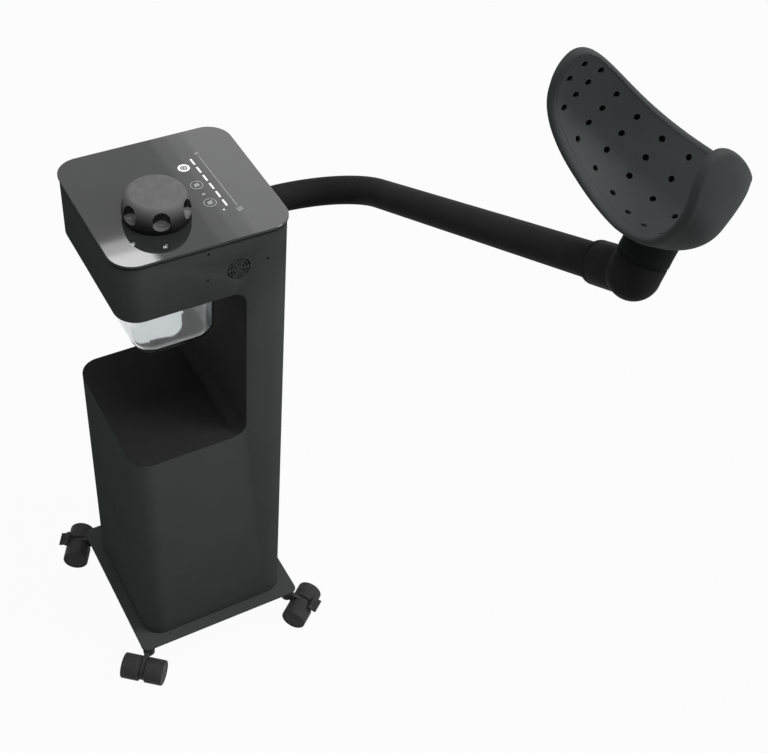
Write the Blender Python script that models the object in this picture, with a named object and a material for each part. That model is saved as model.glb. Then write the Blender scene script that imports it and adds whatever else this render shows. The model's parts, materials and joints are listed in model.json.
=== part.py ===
"""Hair steamer on castors.

A sheet-metal cabinet holds the boiler and the pump. A clear water tank hangs in its recess, a glass top
carries the controls and the filler cap, and a swinging arm leads the steam to a perforated hood.
Metres, +Z up, the floor at z = 0, X towards the fan side and -Y towards the front.
"""

import math

import bmesh
import bpy
from mathutils import Matrix, Vector

# Fits, sheet and roundness
GAP = 0.0003
SHEET = 0.002
ROUND_STEPS = 18
CORNER_STEPS = 4
BEND_STEPS = 2
PIPE_STEPS = 8
SHARP_ANGLE = 35.0

# Base plate
PLATE_LOW = 0.058
PLATE_THICK = 0.004
PLATE_MARGIN_X = 0.021
PLATE_MARGIN_Y = 0.019
PLATE_RADIUS = 0.012

# Casing: two half shells that meet in the middle of the front, and a back panel between them
CASING_WIDTH = 0.260
CASING_DEPTH = 0.267
CASING_RADIUS = 0.035

# Recess between the lower box and the head
SHELF_HEIGHT = 0.4605
RECESS_HEIGHT = 0.3045
HEAD_HEIGHT = 0.096
RECESS_RADIUS = 0.022
COLUMN_DEPTH = 0.0761
MAT_THICK = 0.0015

# Glass top on its dark frame
FRAME_HEIGHT = 0.005
FRAME_INSET = 0.0005
FRAME_WIDTH = 0.0095
GLASS_THICK = 0.004
GLASS_OVERHANG = 0.002
GLASS_CHAMFER = 0.0008

# Water tank, hung by its flange from the floor of the head
TANK_WIDTH = 0.200
TANK_DEPTH = 0.133
TANK_FORWARD = 0.0365
TANK_DROP = 0.1135
TANK_EDGE = 0.031
TANK_CORNER = 0.034
TANK_WALL = 0.003
TANK_FLANGE = 0.008
TANK_LID = 0.003

# Filler neck and cap
FILLER_X = 0.037
FILLER_Y = -0.039
NECK_BORE = 0.026
NECK_WALL = 0.004
NECK_COLLAR = 0.037
NECK_COLLAR_THICK = 0.0022
CAP_RADIUS = 0.0493
CAP_HEIGHT = 0.0405
CAP_TOP_RADIUS = 0.0362
CAP_SKIRT_HEIGHT = 0.007
CAP_SKIRT_INSET = 0.0008
CAP_WALL = 0.0083
CAP_HOLLOW_HEIGHT = 0.006
CAP_PLUG_DEPTH = 0.010
SCALLOPS = 6
SCALLOP_ANGLE = -13.0
SCALLOP_RADIUS = 0.0125
SCALLOP_REACH = 0.0468
SCALLOP_FLOOR = 0.0082
SCALLOP_TOP = 0.036
SCALLOP_STEPS = 7
CAP_STEPS = 24
SEAL_WIDTH = 0.008

# Water and steam inside the cabinet
OUTLET_X = -0.040
OUTLET_ABOVE_TANK = 0.040
OUTLET_RADIUS = 0.006
OUTLET_BORE = 0.004
OUTLET_PAST_COLUMN = 0.016
HOSE_RADIUS = 0.008
HOSE_BORE = 0.0055
HOSE_WALL = 0.0022
HOSE_OVERLAP = 0.008
HOSE_BEND = 0.018
HOSE_BELOW_SHELF = 0.028
PUMP_RADIUS = 0.022
PUMP_HEIGHT = 0.050
PUMP_LOW = 0.300
PUMP_FOOT_WIDTH = 0.030
PUMP_FROM_BACK = 0.0045
BOILER_RADIUS = 0.065
BOILER_HEIGHT = 0.215
BOILER_FORWARD = 0.020
BOILER_NOZZLE = 0.022
BOILER_DOME = 0.022
BOILER_CROWN = 0.012
BOILER_WALL = 0.0015
DOME_STEPS = 3
HEATER_LOW = 0.045
HEATER_HEIGHT = 0.040
HEATER_THICK = 0.004
PUMP_PIPE_RADIUS = 0.005
PUMP_PIPE_BORE = 0.003
PUMP_PIPE_ABOVE_PLATE = 0.024

# Electrics
CONTROL_BOARD_WIDTH = 0.170
CONTROL_BOARD_DEPTH = 0.075
CONTROL_BOARD_BACK = 0.0525
BOARD_THICK = 0.0016
POWER_BOARD_DEPTH = 0.120
POWER_BOARD_HEIGHT = 0.150
POWER_BOARD_LOW = 0.090
POWER_BOARD_STANDOFF = 0.008
STANDOFF_RADIUS = 0.003
STANDOFF_INSET = 0.008
TRANSFORMER_SIZE = 0.034
FAN_BACK = 0.045
FAN_BELOW_TOP = 0.0494
FAN_SIZE = 0.040
FAN_THICK = 0.010
FAN_BORE = 0.0185
FAN_HUB = 0.0085
FAN_SHAFT = 0.0012
FAN_BLADES = 7
FAN_BLADE_THICK = 0.0012
FAN_PITCH = 35.0
FAN_TIP = 0.001
FAN_ROOT = 0.0017
FAN_STRUTS = 3
FAN_SPIDER = 0.002
GRILLE_RINGS = 4
GRILLE_SPOKES = 6
GRILLE_PITCH = 0.0042
GRILLE_SLOT = 0.0024
GRILLE_BRIDGE = 0.0022
INLET_X = 0.050
INLET_ABOVE_PLATE = 0.058
INLET_WIDTH = 0.0275
INLET_HEIGHT = 0.0200
INLET_DEPTH = 0.020
INLET_WALL = 0.002
INLET_FLANGE = 0.006
INLET_FLANGE_THICK = 0.003

# Arm: a tube with one bend that swings in a socket in the back
ARM_BELOW_TOP = 0.0546
ARM_RISE = 26.65
ARM_RADIUS = 0.0215
ARM_WALL = 0.002
ARM_BACK = 0.1433
ARM_LENGTH = 0.7307
ARM_BEND = 0.130
ARM_BEND_STEPS = 5
SOCKET_DEPTH = 0.037
SOCKET_WALL = 0.0025
SOCKET_FLANGE = 0.034
SOCKET_FLANGE_THICK = 0.004
SOCKET_END = 0.0035
BUSH_WALL = 0.0015
NIPPLE_WALL = 0.0012

# Elbow at the arm's end
COLLAR_BEFORE_ELBOW = 0.068
COLLAR_LENGTH = 0.010
COLLAR_CHAMFER = 0.003
ELBOW_RADIUS = 0.0262
ELBOW_PASSAGE = 0.017
BALL_STEPS = 5
ELBOW_SOCKET = 0.034
ELBOW_TURN = 69.3
ELBOW_LEAN = 24.2
BRANCH_RADIUS = 0.0305
SEAM_MARGIN = 0.0005
NECK_SPIGOT = 0.0245
NECK_SPIGOT_LENGTH = 0.012
NECK_PASSAGE = 0.0135
NECK_SEAL_HEIGHT = 0.0017
NECK_SEAL_INSET = 0.0012

# Hood: a trough with flatter wings and a leaning axis, a thick rim and a perforated liner
HOOD_TWIST = 10.6
HOOD_LEAN = 23.7
HOOD_RADIUS = 0.0953
HOOD_CROWN_ARC = 0.1094
WING_RADIUS = 0.2095
HOOD_HALF_ARC = 0.2041
HOOD_HALF_LOW = 0.0495
HOOD_HALF_HIGH = 0.0547
HOOD_CURL_LOW = 0.030
HOOD_CURL_HIGH = 0.42
HOOD_NARROWING = 3.6
HOOD_TAPER_LOW = 0.18
HOOD_TAPER_HIGH = 0.368
HOOD_TAPER_POWER = 1.3
HOOD_TIP_LIFT = 0.0338
HOOD_LIFT_POWER = 2.5
HOOD_RISE = 0.0942
RIM_RADIUS = 0.006
RIM_WIDTH = 0.002
HOOD_BULGE = 0.004
HOOD_WALL = 0.003
LINER_THICK = 0.0025
LINER_CLEARANCE = 0.0008
HOOD_CELLS_ACROSS = 16
HOOD_CELLS_ALONG = 6
RIM_STEPS = 4
HOLE_RADIUS = 0.0036
HOLE_PITCH = 0.0374
HOLE_ROWS = 4
HOLE_ROW_PITCH = 0.0296
HOLE_ROW_TAPER = 0.494
HOLE_TIP_ARC = 0.191
HOLE_TIP_MARGIN = 0.012
HOLE_TIP_ROWS = (0.82, 2.11)
HOLE_STEPS = 6
NECK_RING_ACROSS = 0.036
NECK_RING_ALONG = 0.0267
NECK_RING_SHIFT = -0.0103
NECK_FLARE = 0.25
NECK_LOFT_STEPS = 4

# Castors: a swivelling housing with two barrel wheels, and a brake pedal on two of them
CASTOR_INSET_X = 0.0145
CASTOR_INSET_Y = 0.014
CASTOR_TRAIL = 0.031
WHEEL_RADIUS = 0.023
WHEEL_WIDTH = 0.033
WHEEL_GAP = 0.010
WHEEL_EDGE = 0.0018
WHEEL_FACE = 0.005
WHEEL_STEPS = 14
AXLE_RADIUS = 0.003
WEB_THICK = 0.008
WEB_RADIUS = 0.0195
LEG_BACK = 0.0175
LEG_DROP = 0.0065
LEG_RISE = 0.0185
STEM_FLANGE = 0.0135
STEM_FLANGE_THICK = 0.003
STEM_CONE = 0.0045
STEM_PIN = 0.004
SWIVEL_RADIUS = 0.0105
SWIVEL_SOCKET_LOW = 0.034
SWIVEL_SOCKET_FLOOR = 0.0027
PEDAL_HINGE_X = 0.021
PEDAL_HINGE_Z = 0.018
PEDAL_EAR = 0.004
PEDAL_LUG = 0.0032
PEDAL_PIN = 0.0016
PEDAL_WIDTH = 0.028
PEDAL_LENGTH = 0.0135
PEDAL_THICK = 0.0035
PEDAL_TILT = 12.0
CASTORS = {
    "front_right": (1, -1, -40.0, False),
    "back_right": (1, 1, 38.0, True),
    "front_left": (-1, -1, -121.0, True),
    "back_left": (-1, 1, 140.0, False),
}

# Places worked out from the sizes above
PLATE_TOP = PLATE_LOW + PLATE_THICK
CASING_LOW = PLATE_TOP + GAP
HALF_X = CASING_WIDTH / 2
HALF_Y = CASING_DEPTH / 2
MAT_TOP = PLATE_TOP + SHELF_HEIGHT
SHELF_TOP = MAT_TOP - MAT_THICK - GAP
HEAD_FLOOR = MAT_TOP + RECESS_HEIGHT
CASING_TOP = HEAD_FLOOR + HEAD_HEIGHT
COLUMN_FRONT = HALF_Y - COLUMN_DEPTH
GLASS_LOW = CASING_TOP + FRAME_HEIGHT
GLASS_TOP = GLASS_LOW + GLASS_THICK
TANK_LOW = HEAD_FLOOR - TANK_DROP
TANK_TOP = HEAD_FLOOR + SHEET + GAP + TANK_WALL
LID_TOP = TANK_TOP + GAP + TANK_LID
ARM_HEIGHT = CASING_TOP - ARM_BELOW_TOP
SOCKET_INNER_Y = HALF_Y - SOCKET_DEPTH
FAN_HEIGHT = CASING_TOP - FAN_BELOW_TOP
BOILER_TOP = PLATE_TOP + GAP + BOILER_HEIGHT
OUTLET_HEIGHT = TANK_LOW + OUTLET_ABOVE_TANK
OUTLET_END = COLUMN_FRONT + SHEET + OUTLET_PAST_COLUMN
FEED_Y = HALF_Y - SHEET - PUMP_RADIUS - PUMP_FROM_BACK
PUMP_BOTTOM = PLATE_TOP + PUMP_LOW
PUMP_TOP = PUMP_BOTTOM + PUMP_HEIGHT
PIPE_FLAT = math.cos(math.pi / PIPE_STEPS)
HOSE_NIPPLE = HOSE_BORE * PIPE_FLAT - GAP
PUMP_PIPE_HEIGHT = PLATE_TOP + PUMP_PIPE_ABOVE_PLATE
TURN_COSINE = math.cos(math.radians(ELBOW_TURN))
TURN_SINE = math.sin(math.radians(ELBOW_TURN))
SEAM = (ELBOW_RADIUS - NECK_SPIGOT * TURN_COSINE) / TURN_SINE + SEAM_MARGIN
HOLE_COLUMNS = 2 * math.floor((HOLE_TIP_ARC - HOLE_TIP_MARGIN) / HOLE_PITCH + 0.5)

# Looks: linear colour, roughness, metallic
LOOKS = {
    "powder_coat": ((0.033, 0.036, 0.034), 0.55, 0.3),
    "black_sheet": ((0.010, 0.010, 0.010), 0.7, 0.3),
    "rubber": ((0.010, 0.010, 0.010), 0.85, 0.0),
    "black_glass": ((0.02, 0.02, 0.02), 0.08, 0.0),
    "clear_plastic": ((0.75, 0.78, 0.78), 0.05, 0.0),
    "cap_plastic": ((0.06, 0.06, 0.06), 0.45, 0.0),
    "tube_coat": ((0.012, 0.012, 0.012), 0.5, 0.3),
    "hood_plastic": ((0.026, 0.031, 0.031), 0.4, 0.0),
    "castor_plastic": ((0.025, 0.025, 0.025), 0.5, 0.0),
    "steel": ((0.5, 0.5, 0.5), 0.3, 1.0),
    "brass": ((0.6, 0.45, 0.2), 0.35, 1.0),
    "board": ((0.02, 0.10, 0.05), 0.5, 0.0),
    "silicone": ((0.6, 0.6, 0.58), 0.5, 0.0),
}


def clear_scene():
    """Remove every object that the scene starts with."""
    for item in list(bpy.data.objects):
        bpy.data.objects.remove(item, do_unlink=True)


def material(name, look):
    """One Principled material for one piece."""
    colour, roughness, metallic = LOOKS[look]
    finish = bpy.data.materials.new(name)
    finish.use_nodes = True
    shader = finish.node_tree.nodes["Principled BSDF"]
    shader.inputs["Base Color"].default_value = (*colour, 1.0)
    shader.inputs["Roughness"].default_value = roughness
    shader.inputs["Metallic"].default_value = metallic
    return finish


def empty(name, parent=None, place=Matrix.Identity(4)):
    """A frame that carries the pieces which move together."""
    frame = bpy.data.objects.new(name, None)
    bpy.context.collection.objects.link(frame)
    frame.parent = parent
    frame.matrix_basis = place
    return frame


def new_object(name, mesh, look, parent=None, place=Matrix.Identity(4)):
    """Turn a bmesh into a named object with its faces out, smooth where the surface is round."""
    bmesh.ops.recalc_face_normals(mesh, faces=mesh.faces)
    data = bpy.data.meshes.new(name)
    mesh.to_mesh(data)
    mesh.free()
    data.shade_smooth()
    data.set_sharp_from_angle(angle=math.radians(SHARP_ANGLE))
    data.materials.append(material(name, look))
    piece = bpy.data.objects.new(name, data)
    bpy.context.collection.objects.link(piece)
    piece.parent = parent
    piece.matrix_basis = place
    return piece


def combine(piece, mesh, operation="DIFFERENCE"):
    """Cut a shape out of a piece, add it or keep what they share. The shape is in the piece's own frame."""
    tool = new_object(f"{piece.name}_tool_{len(piece.modifiers)}", mesh, "steel", piece)
    tool.hide_render = True
    tool.display_type = "WIRE"
    boolean = piece.modifiers.new(tool.name, "BOOLEAN")
    boolean.operation = operation
    boolean.object = tool


def loft(loops, ring=False):
    """Skin a row of equal loops. The ends are capped, or joined to each other when the row is a ring."""
    mesh = bmesh.new()
    rows = [[mesh.verts.new(point) for point in loop] for loop in loops]
    pairs = list(zip(rows, rows[1:]))
    if ring:
        pairs.append((rows[-1], rows[0]))
    for lower, upper in pairs:
        for i in range(len(lower)):
            j = (i + 1) % len(lower)
            mesh.faces.new((lower[i], lower[j], upper[j], upper[i]))
    if not ring:
        mesh.faces.new(rows[0][::-1])
        mesh.faces.new(rows[-1])
    return mesh


def join(meshes):
    """Several separate shapes in one bmesh, for a tool that cuts them all."""
    whole = bmesh.new()
    for mesh in meshes:
        bmesh.ops.recalc_face_normals(mesh, faces=mesh.faces)
        data = bpy.data.meshes.new("shape")
        mesh.to_mesh(data)
        mesh.free()
        whole.from_mesh(data)
        bpy.data.meshes.remove(data)
    return whole


def moved(mesh, place):
    """The same shape after a move."""
    bmesh.ops.transform(mesh, matrix=place, verts=mesh.verts)
    return mesh


def rounded_rectangle(half_x, half_y, radius, middle=(0.0, 0.0)):
    """Outline with four round corners, counter-clockwise from the right end of the front edge."""
    points = []
    for corner, (side_x, side_y) in enumerate(((1, -1), (1, 1), (-1, 1), (-1, -1))):
        for step in range(CORNER_STEPS + 1):
            angle = math.radians(-90 + 90 * (corner + step / CORNER_STEPS))
            x = middle[0] + side_x * (half_x - radius) + radius * math.cos(angle)
            y = middle[1] + side_y * (half_y - radius) + radius * math.sin(angle)
            points.append((x, y))
    return points


def at_height(outline, z):
    """A plan outline lifted to one height."""
    return [Vector((x, y, z)) for x, y in outline]


def slab(outline, low, high):
    """A plan outline extruded between two heights."""
    return loft([at_height(outline, low), at_height(outline, high)])


def box(low, high):
    """A block between two corners."""
    outline = [(low[0], low[1]), (high[0], low[1]), (high[0], high[1]), (low[0], high[1])]
    return slab(outline, low[2], high[2])


def circle(radius, z, steps=ROUND_STEPS):
    """Points round the Z axis."""
    turns = [2 * math.pi * step / steps for step in range(steps)]
    return [Vector((radius * math.cos(turn), radius * math.sin(turn), z)) for turn in turns]


def turned(profile, steps=ROUND_STEPS, ring=False):
    """A (radius, height) profile turned about Z. A hollow piece gives its profile as a ring."""
    return loft([circle(radius, z, steps) for radius, z in profile], ring)


def clearing(radius, steps=ROUND_STEPS):
    """Corner radius of a faceted bore whose flats stay clear of a round piece that turns in it."""
    return (radius + GAP) / math.cos(math.pi / steps)


def rod(radius, low, high, steps=ROUND_STEPS):
    """A plain cylinder about Z."""
    return turned([(radius, low), (radius, high)], steps)


def bent(points, radius, steps=BEND_STEPS):
    """A polyline with each inner corner replaced by an arc of the given radius."""
    path = [points[0]]
    for before, corner, after in zip(points, points[1:], points[2:]):
        inward = (before - corner).normalized()
        outward = (after - corner).normalized()
        half = inward.angle(outward) / 2
        centre = corner + (inward + outward).normalized() * radius / math.sin(half)
        start = corner + inward * radius / math.tan(half)
        axis = inward.cross(outward).normalized()
        sweep = math.pi - 2 * half
        for step in range(steps + 1):
            turn = Matrix.Rotation(-sweep * step / steps, 3, axis)
            path.append(centre + turn @ (start - centre))
    path.append(points[-1])
    return path


def rings(path, radius, steps):
    """Circles square to a path, carried along it without twist."""
    directions = [(b - a).normalized() for a, b in zip(path, path[1:])]
    tangents = [directions[0]]
    tangents += [(a + b).normalized() for a, b in zip(directions, directions[1:])]
    tangents.append(directions[-1])
    side = tangents[0].orthogonal().normalized()
    loops = []
    for point, tangent in zip(path, tangents):
        side = (side - tangent * side.dot(tangent)).normalized()
        across = tangent.cross(side)
        turns = [2 * math.pi * step / steps for step in range(steps)]
        loops.append([point + (side * math.cos(turn) + across * math.sin(turn)) * radius for turn in turns])
    return loops


def tube(path, radius, bore, steps=ROUND_STEPS):
    """An open tube along a path."""
    return loft(rings(path, radius, steps) + rings(path, bore, steps)[::-1], ring=True)


# Turns that lay the Z axis of a turned shape along X or along Y
ALONG_X = Matrix.Rotation(math.radians(90), 4, "Y")
ALONG_Y = Matrix.Rotation(math.radians(-90), 4, "X")


def half_outline(half_x, half_y, radius, side):
    """Half of the casing's plan, from the seam in the middle of the front to the flat of the back."""
    whole = rounded_rectangle(half_x, half_y, radius)
    right = [(GAP, -half_y)] + whole[:2 * (CORNER_STEPS + 1)]
    return [(side * x, y) for x, y in right]


def recess_path(grow, front):
    """Side view (y, z) of the recess, from the front of the shelf to the front of the head's floor."""
    radius = RECESS_RADIUS + grow
    low = SHELF_TOP - grow
    high = HEAD_FLOOR + grow
    middle_y = COLUMN_FRONT - RECESS_RADIUS
    path = [(front, low)]
    for start, middle_z in ((-90, low + radius), (0, high - radius)):
        for step in range(CORNER_STEPS + 1):
            angle = math.radians(start + 90 * step / CORNER_STEPS)
            path.append((middle_y + radius * math.cos(angle), middle_z + radius * math.sin(angle)))
    path.append((front, high))
    return path


def fan_grille():
    """Rings of slots broken by bridges, about Z and tall enough to pierce the sheet."""
    slots = []
    for ring in range(1, GRILLE_RINGS + 1):
        middle = ring * GRILLE_PITCH
        inner = middle - GRILLE_SLOT / 2
        outer = middle + GRILLE_SLOT / 2
        half = math.pi / GRILLE_SPOKES - GRILLE_BRIDGE / 2 / middle
        for spoke in range(GRILLE_SPOKES):
            centre = 2 * math.pi * spoke / GRILLE_SPOKES
            turns = [centre + half * step for step in (-1, 0, 1)]
            outline = [(outer * math.cos(turn), outer * math.sin(turn)) for turn in turns]
            outline += [(inner * math.cos(turn), inner * math.sin(turn)) for turn in reversed(turns)]
            slots.append(slab(outline, -SHEET, SHEET))
    return join(slots)


def base_plate():
    outline = rounded_rectangle(HALF_X + PLATE_MARGIN_X, HALF_Y + PLATE_MARGIN_Y, PLATE_RADIUS)
    new_object("base_plate", slab(outline, PLATE_LOW, PLATE_TOP), "powder_coat")


def side_shells():
    """Two bent half shells with the recess cut out of them, and the fan's grille in the right one."""
    for name, side in (("right_side_shell", 1), ("left_side_shell", -1)):
        outer = half_outline(HALF_X, HALF_Y, CASING_RADIUS, side)
        inner = half_outline(HALF_X - SHEET, HALF_Y - SHEET, CASING_RADIUS - SHEET, side)
        loops = []
        for (x, y), (x_in, y_in) in zip(outer, inner):
            loops.append([
                Vector((x, y, CASING_LOW)),
                Vector((x, y, CASING_TOP)),
                Vector((x_in, y_in, CASING_TOP)),
                Vector((x_in, y_in, CASING_LOW)),
            ])
        shell = new_object(name, loft(loops), "powder_coat")
        window = recess_path(0.0, -HALF_Y - CASING_RADIUS)
        loops = [[Vector((x, y, z)) for y, z in window] for x in (-CASING_WIDTH, CASING_WIDTH)]
        combine(shell, loft(loops))
        if side > 0:
            middle = Matrix.Translation((HALF_X - SHEET / 2, FAN_BACK, FAN_HEIGHT))
            combine(shell, moved(fan_grille(), middle @ ALONG_X))


def back_panel():
    """Flat panel between the shells, with the openings for the arm's socket and the mains inlet."""
    half = HALF_X - CASING_RADIUS - GAP
    panel = new_object(
        "back_panel",
        box((-half, HALF_Y - SHEET, CASING_LOW), (half, HALF_Y, CASING_TOP)),
        "powder_coat",
    )
    sleeve = ARM_RADIUS + GAP + BUSH_WALL + GAP + SOCKET_WALL
    middle = Matrix.Translation((0, HALF_Y, ARM_HEIGHT))
    combine(panel, moved(rod(sleeve + GAP, -CASING_RADIUS, CASING_RADIUS), middle @ ALONG_Y))
    half_x = INLET_WIDTH / 2 + GAP
    half_z = INLET_HEIGHT / 2 + GAP
    height = PLATE_TOP + INLET_ABOVE_PLATE
    low = (INLET_X - half_x, HALF_Y - CASING_RADIUS, height - half_z)
    high = (INLET_X + half_x, HALF_Y + CASING_RADIUS, height + half_z)
    combine(panel, box(low, high))


def recess_liner():
    """One folded sheet: shelf, front of the column and floor of the head."""
    loops = []
    for (y, z), (y_out, z_out) in zip(recess_path(0.0, -HALF_Y), recess_path(SHEET, -HALF_Y)):
        loops.append([
            Vector((-HALF_X, y, z)),
            Vector((HALF_X, y, z)),
            Vector((HALF_X, y_out, z_out)),
            Vector((-HALF_X, y_out, z_out)),
        ])
    liner = new_object("recess_liner", loft(loops), "black_sheet")
    inset = SHEET + GAP
    plan = rounded_rectangle(HALF_X - inset, HALF_Y - inset, CASING_RADIUS - inset)
    combine(liner, slab(plan, CASING_LOW, CASING_TOP), "INTERSECT")
    combine(liner, loft([tank_loop(-GAP, z) for z in (TANK_LOW, CASING_TOP)]))
    middle = Matrix.Translation((OUTLET_X, COLUMN_FRONT, OUTLET_HEIGHT))
    hole = clearing(OUTLET_RADIUS, PIPE_STEPS)
    combine(liner, moved(rod(hole, -RECESS_RADIUS, RECESS_RADIUS, PIPE_STEPS), middle @ ALONG_Y))


def shelf_mat():
    """Thin mat over the shelf and the shells' edges, up to where the sheet folds into the column."""
    whole = rounded_rectangle(HALF_X, HALF_Y, CASING_RADIUS)
    corner = CORNER_STEPS + 1
    back = COLUMN_FRONT - RECESS_RADIUS - GAP
    outline = whole[:corner] + [(HALF_X, back), (-HALF_X, back)] + whole[3 * corner:]
    new_object("shelf_mat", slab(outline, MAT_TOP - MAT_THICK, MAT_TOP), "rubber")


def top_frame():
    """Dark ring that the glass lies on."""
    loops = []
    for inset, low_first in ((FRAME_INSET, True), (FRAME_INSET + FRAME_WIDTH, False)):
        outline = rounded_rectangle(HALF_X - inset, HALF_Y - inset, CASING_RADIUS - inset)
        heights = [CASING_TOP + GAP, GLASS_LOW - GAP]
        if not low_first:
            heights.reverse()
        loops += [at_height(outline, z) for z in heights]
    new_object("top_frame", loft(loops, ring=True), "rubber")


def glass_top():
    """Control glass with a fine chamfer and the hole for the filler neck."""
    loops = []
    for inset, z in ((0.0, GLASS_LOW), (0.0, GLASS_TOP - GLASS_CHAMFER), (GLASS_CHAMFER, GLASS_TOP)):
        grow = GLASS_OVERHANG - inset
        loops.append(at_height(rounded_rectangle(HALF_X + grow, HALF_Y + grow, CASING_RADIUS + grow), z))
    glass = new_object("glass_top", loft(loops), "black_glass")
    hole = rod(NECK_BORE + NECK_WALL + GAP, CASING_TOP, GLASS_TOP + FRAME_HEIGHT)
    combine(glass, moved(hole, Matrix.Translation((FILLER_X, FILLER_Y, 0))))


def tank_loop(inset, z):
    """The tank's plan, drawn in by the inset, at one height."""
    half_x = TANK_WIDTH / 2 - inset
    half_y = TANK_DEPTH / 2 - inset
    return at_height(rounded_rectangle(half_x, half_y, TANK_CORNER - inset, (0, -TANK_FORWARD)), z)


def water_tank():
    """Clear cup with a round bottom edge, hung by its flange, and the hole for the outlet pipe."""
    edge = min(TANK_EDGE, TANK_CORNER - TANK_WALL)
    turns = [math.radians(90 * step / CORNER_STEPS) for step in range(CORNER_STEPS + 1)]
    loops = [tank_loop(edge * (1 - math.sin(t)), TANK_LOW + edge * (1 - math.cos(t))) for t in turns]
    loops.append(tank_loop(0.0, TANK_TOP - TANK_WALL))
    loops.append(tank_loop(-TANK_FLANGE, TANK_TOP - TANK_WALL))
    loops.append(tank_loop(-TANK_FLANGE, TANK_TOP))
    loops.append(tank_loop(TANK_WALL, TANK_TOP))
    bend = edge - TANK_WALL
    for t in reversed(turns):
        loops.append(tank_loop(TANK_WALL + bend * (1 - math.sin(t)), TANK_LOW + edge - bend * math.cos(t)))
    tank = new_object("water_tank", loft(loops), "clear_plastic")
    back = TANK_DEPTH / 2 - TANK_FORWARD
    middle = Matrix.Translation((OUTLET_X, back, OUTLET_HEIGHT))
    hole = clearing(OUTLET_RADIUS, PIPE_STEPS)
    combine(tank, moved(rod(hole, -TANK_CORNER, TANK_CORNER, PIPE_STEPS), middle @ ALONG_Y))


def tank_lid():
    """Cover on the tank's flange, open for the filler neck."""
    loops = [tank_loop(-TANK_FLANGE, z) for z in (TANK_TOP + GAP, LID_TOP)]
    lid = new_object("tank_lid", loft(loops), "castor_plastic")
    hole = rod(NECK_BORE + NECK_WALL + GAP, TANK_TOP - TANK_WALL, CASING_TOP)
    combine(lid, moved(hole, Matrix.Translation((FILLER_X, FILLER_Y, 0))))


def filler_neck():
    """Pipe from the glass through the lid, with a collar that lies on the glass."""
    outer = NECK_BORE + NECK_WALL
    low = TANK_TOP - TANK_WALL
    seat = GLASS_TOP + GAP
    top = seat + NECK_COLLAR_THICK
    profile = [
        (outer, low), (outer, seat), (NECK_COLLAR, seat),
        (NECK_COLLAR, top), (NECK_BORE, top), (NECK_BORE, low),
    ]
    place = Matrix.Translation((FILLER_X, FILLER_Y, 0))
    new_object("filler_neck", turned(profile, ring=True), "castor_plastic", place=place)


def filler_cap():
    """Screw cap with finger scallops, a plug in the neck and a seal under its crown."""
    pivot = empty("cap_pivot", place=Matrix.Translation((FILLER_X, FILLER_Y, GLASS_TOP)))
    plug = NECK_BORE * math.cos(math.pi / ROUND_STEPS) - GAP
    skirt = CAP_RADIUS - CAP_SKIRT_INSET
    hollow = CAP_RADIUS - CAP_WALL
    shoulder = CAP_SKIRT_HEIGHT + CAP_SKIRT_INSET
    profile = [
        (plug, -CAP_PLUG_DEPTH), (plug, CAP_HOLLOW_HEIGHT), (hollow, CAP_HOLLOW_HEIGHT), (hollow, GAP),
        (skirt, GAP), (skirt, CAP_SKIRT_HEIGHT),
    ]
    for step in range(CORNER_STEPS + 1):
        turn = math.radians(90 * step / CORNER_STEPS)
        radius = CAP_TOP_RADIUS + (CAP_RADIUS - CAP_TOP_RADIUS) * math.cos(turn)
        profile.append((radius, shoulder + (CAP_HEIGHT - shoulder) * math.sin(turn)))
    cap = new_object("filler_cap", turned(profile, CAP_STEPS), "cap_plastic", pivot)
    scallop = [(SCALLOP_RADIUS, SCALLOP_FLOOR)]
    for step in range(CORNER_STEPS):
        turn = math.radians(90 * step / CORNER_STEPS)
        height = SCALLOP_TOP - SCALLOP_RADIUS * (1 - math.sin(turn))
        scallop.append((SCALLOP_RADIUS * math.cos(turn), height))
    cutters = []
    for number in range(SCALLOPS):
        turn = Matrix.Rotation(math.radians(SCALLOP_ANGLE + 360 * number / SCALLOPS), 4, "Z")
        place = turn @ Matrix.Translation((SCALLOP_REACH, 0, 0))
        cutters.append(moved(turned(scallop, SCALLOP_STEPS), place))
    combine(cap, join(cutters))
    seal_low = GAP + NECK_COLLAR_THICK + GAP
    seal_top = CAP_HOLLOW_HEIGHT - GAP
    inner = clearing(plug)
    outer = inner + SEAL_WIDTH
    profile = [(inner, seal_low), (outer, seal_low), (outer, seal_top), (inner, seal_top)]
    new_object("cap_seal", turned(profile, ring=True), "silicone", pivot)


def tank_outlet():
    """Pipe from the tank's back wall through the front of the column."""
    start = TANK_DEPTH / 2 - TANK_FORWARD - TANK_WALL - OUTLET_RADIUS
    path = [Vector((OUTLET_X, y, OUTLET_HEIGHT)) for y in (start, OUTLET_END)]
    new_object("tank_outlet", tube(path, OUTLET_RADIUS, OUTLET_BORE, PIPE_STEPS), "castor_plastic")


def feed_hose():
    """Hose over the outlet's end that drops inside the column to the pump."""
    bore = clearing(OUTLET_RADIUS, PIPE_STEPS)
    path = bent([
        Vector((OUTLET_X, OUTLET_END - HOSE_OVERLAP, OUTLET_HEIGHT)),
        Vector((OUTLET_X, FEED_Y, OUTLET_HEIGHT)),
        Vector((OUTLET_X, FEED_Y, PUMP_TOP + GAP)),
    ], HOSE_BEND)
    new_object("feed_hose", tube(path, bore + HOSE_WALL, bore, PIPE_STEPS), "silicone")


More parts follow.
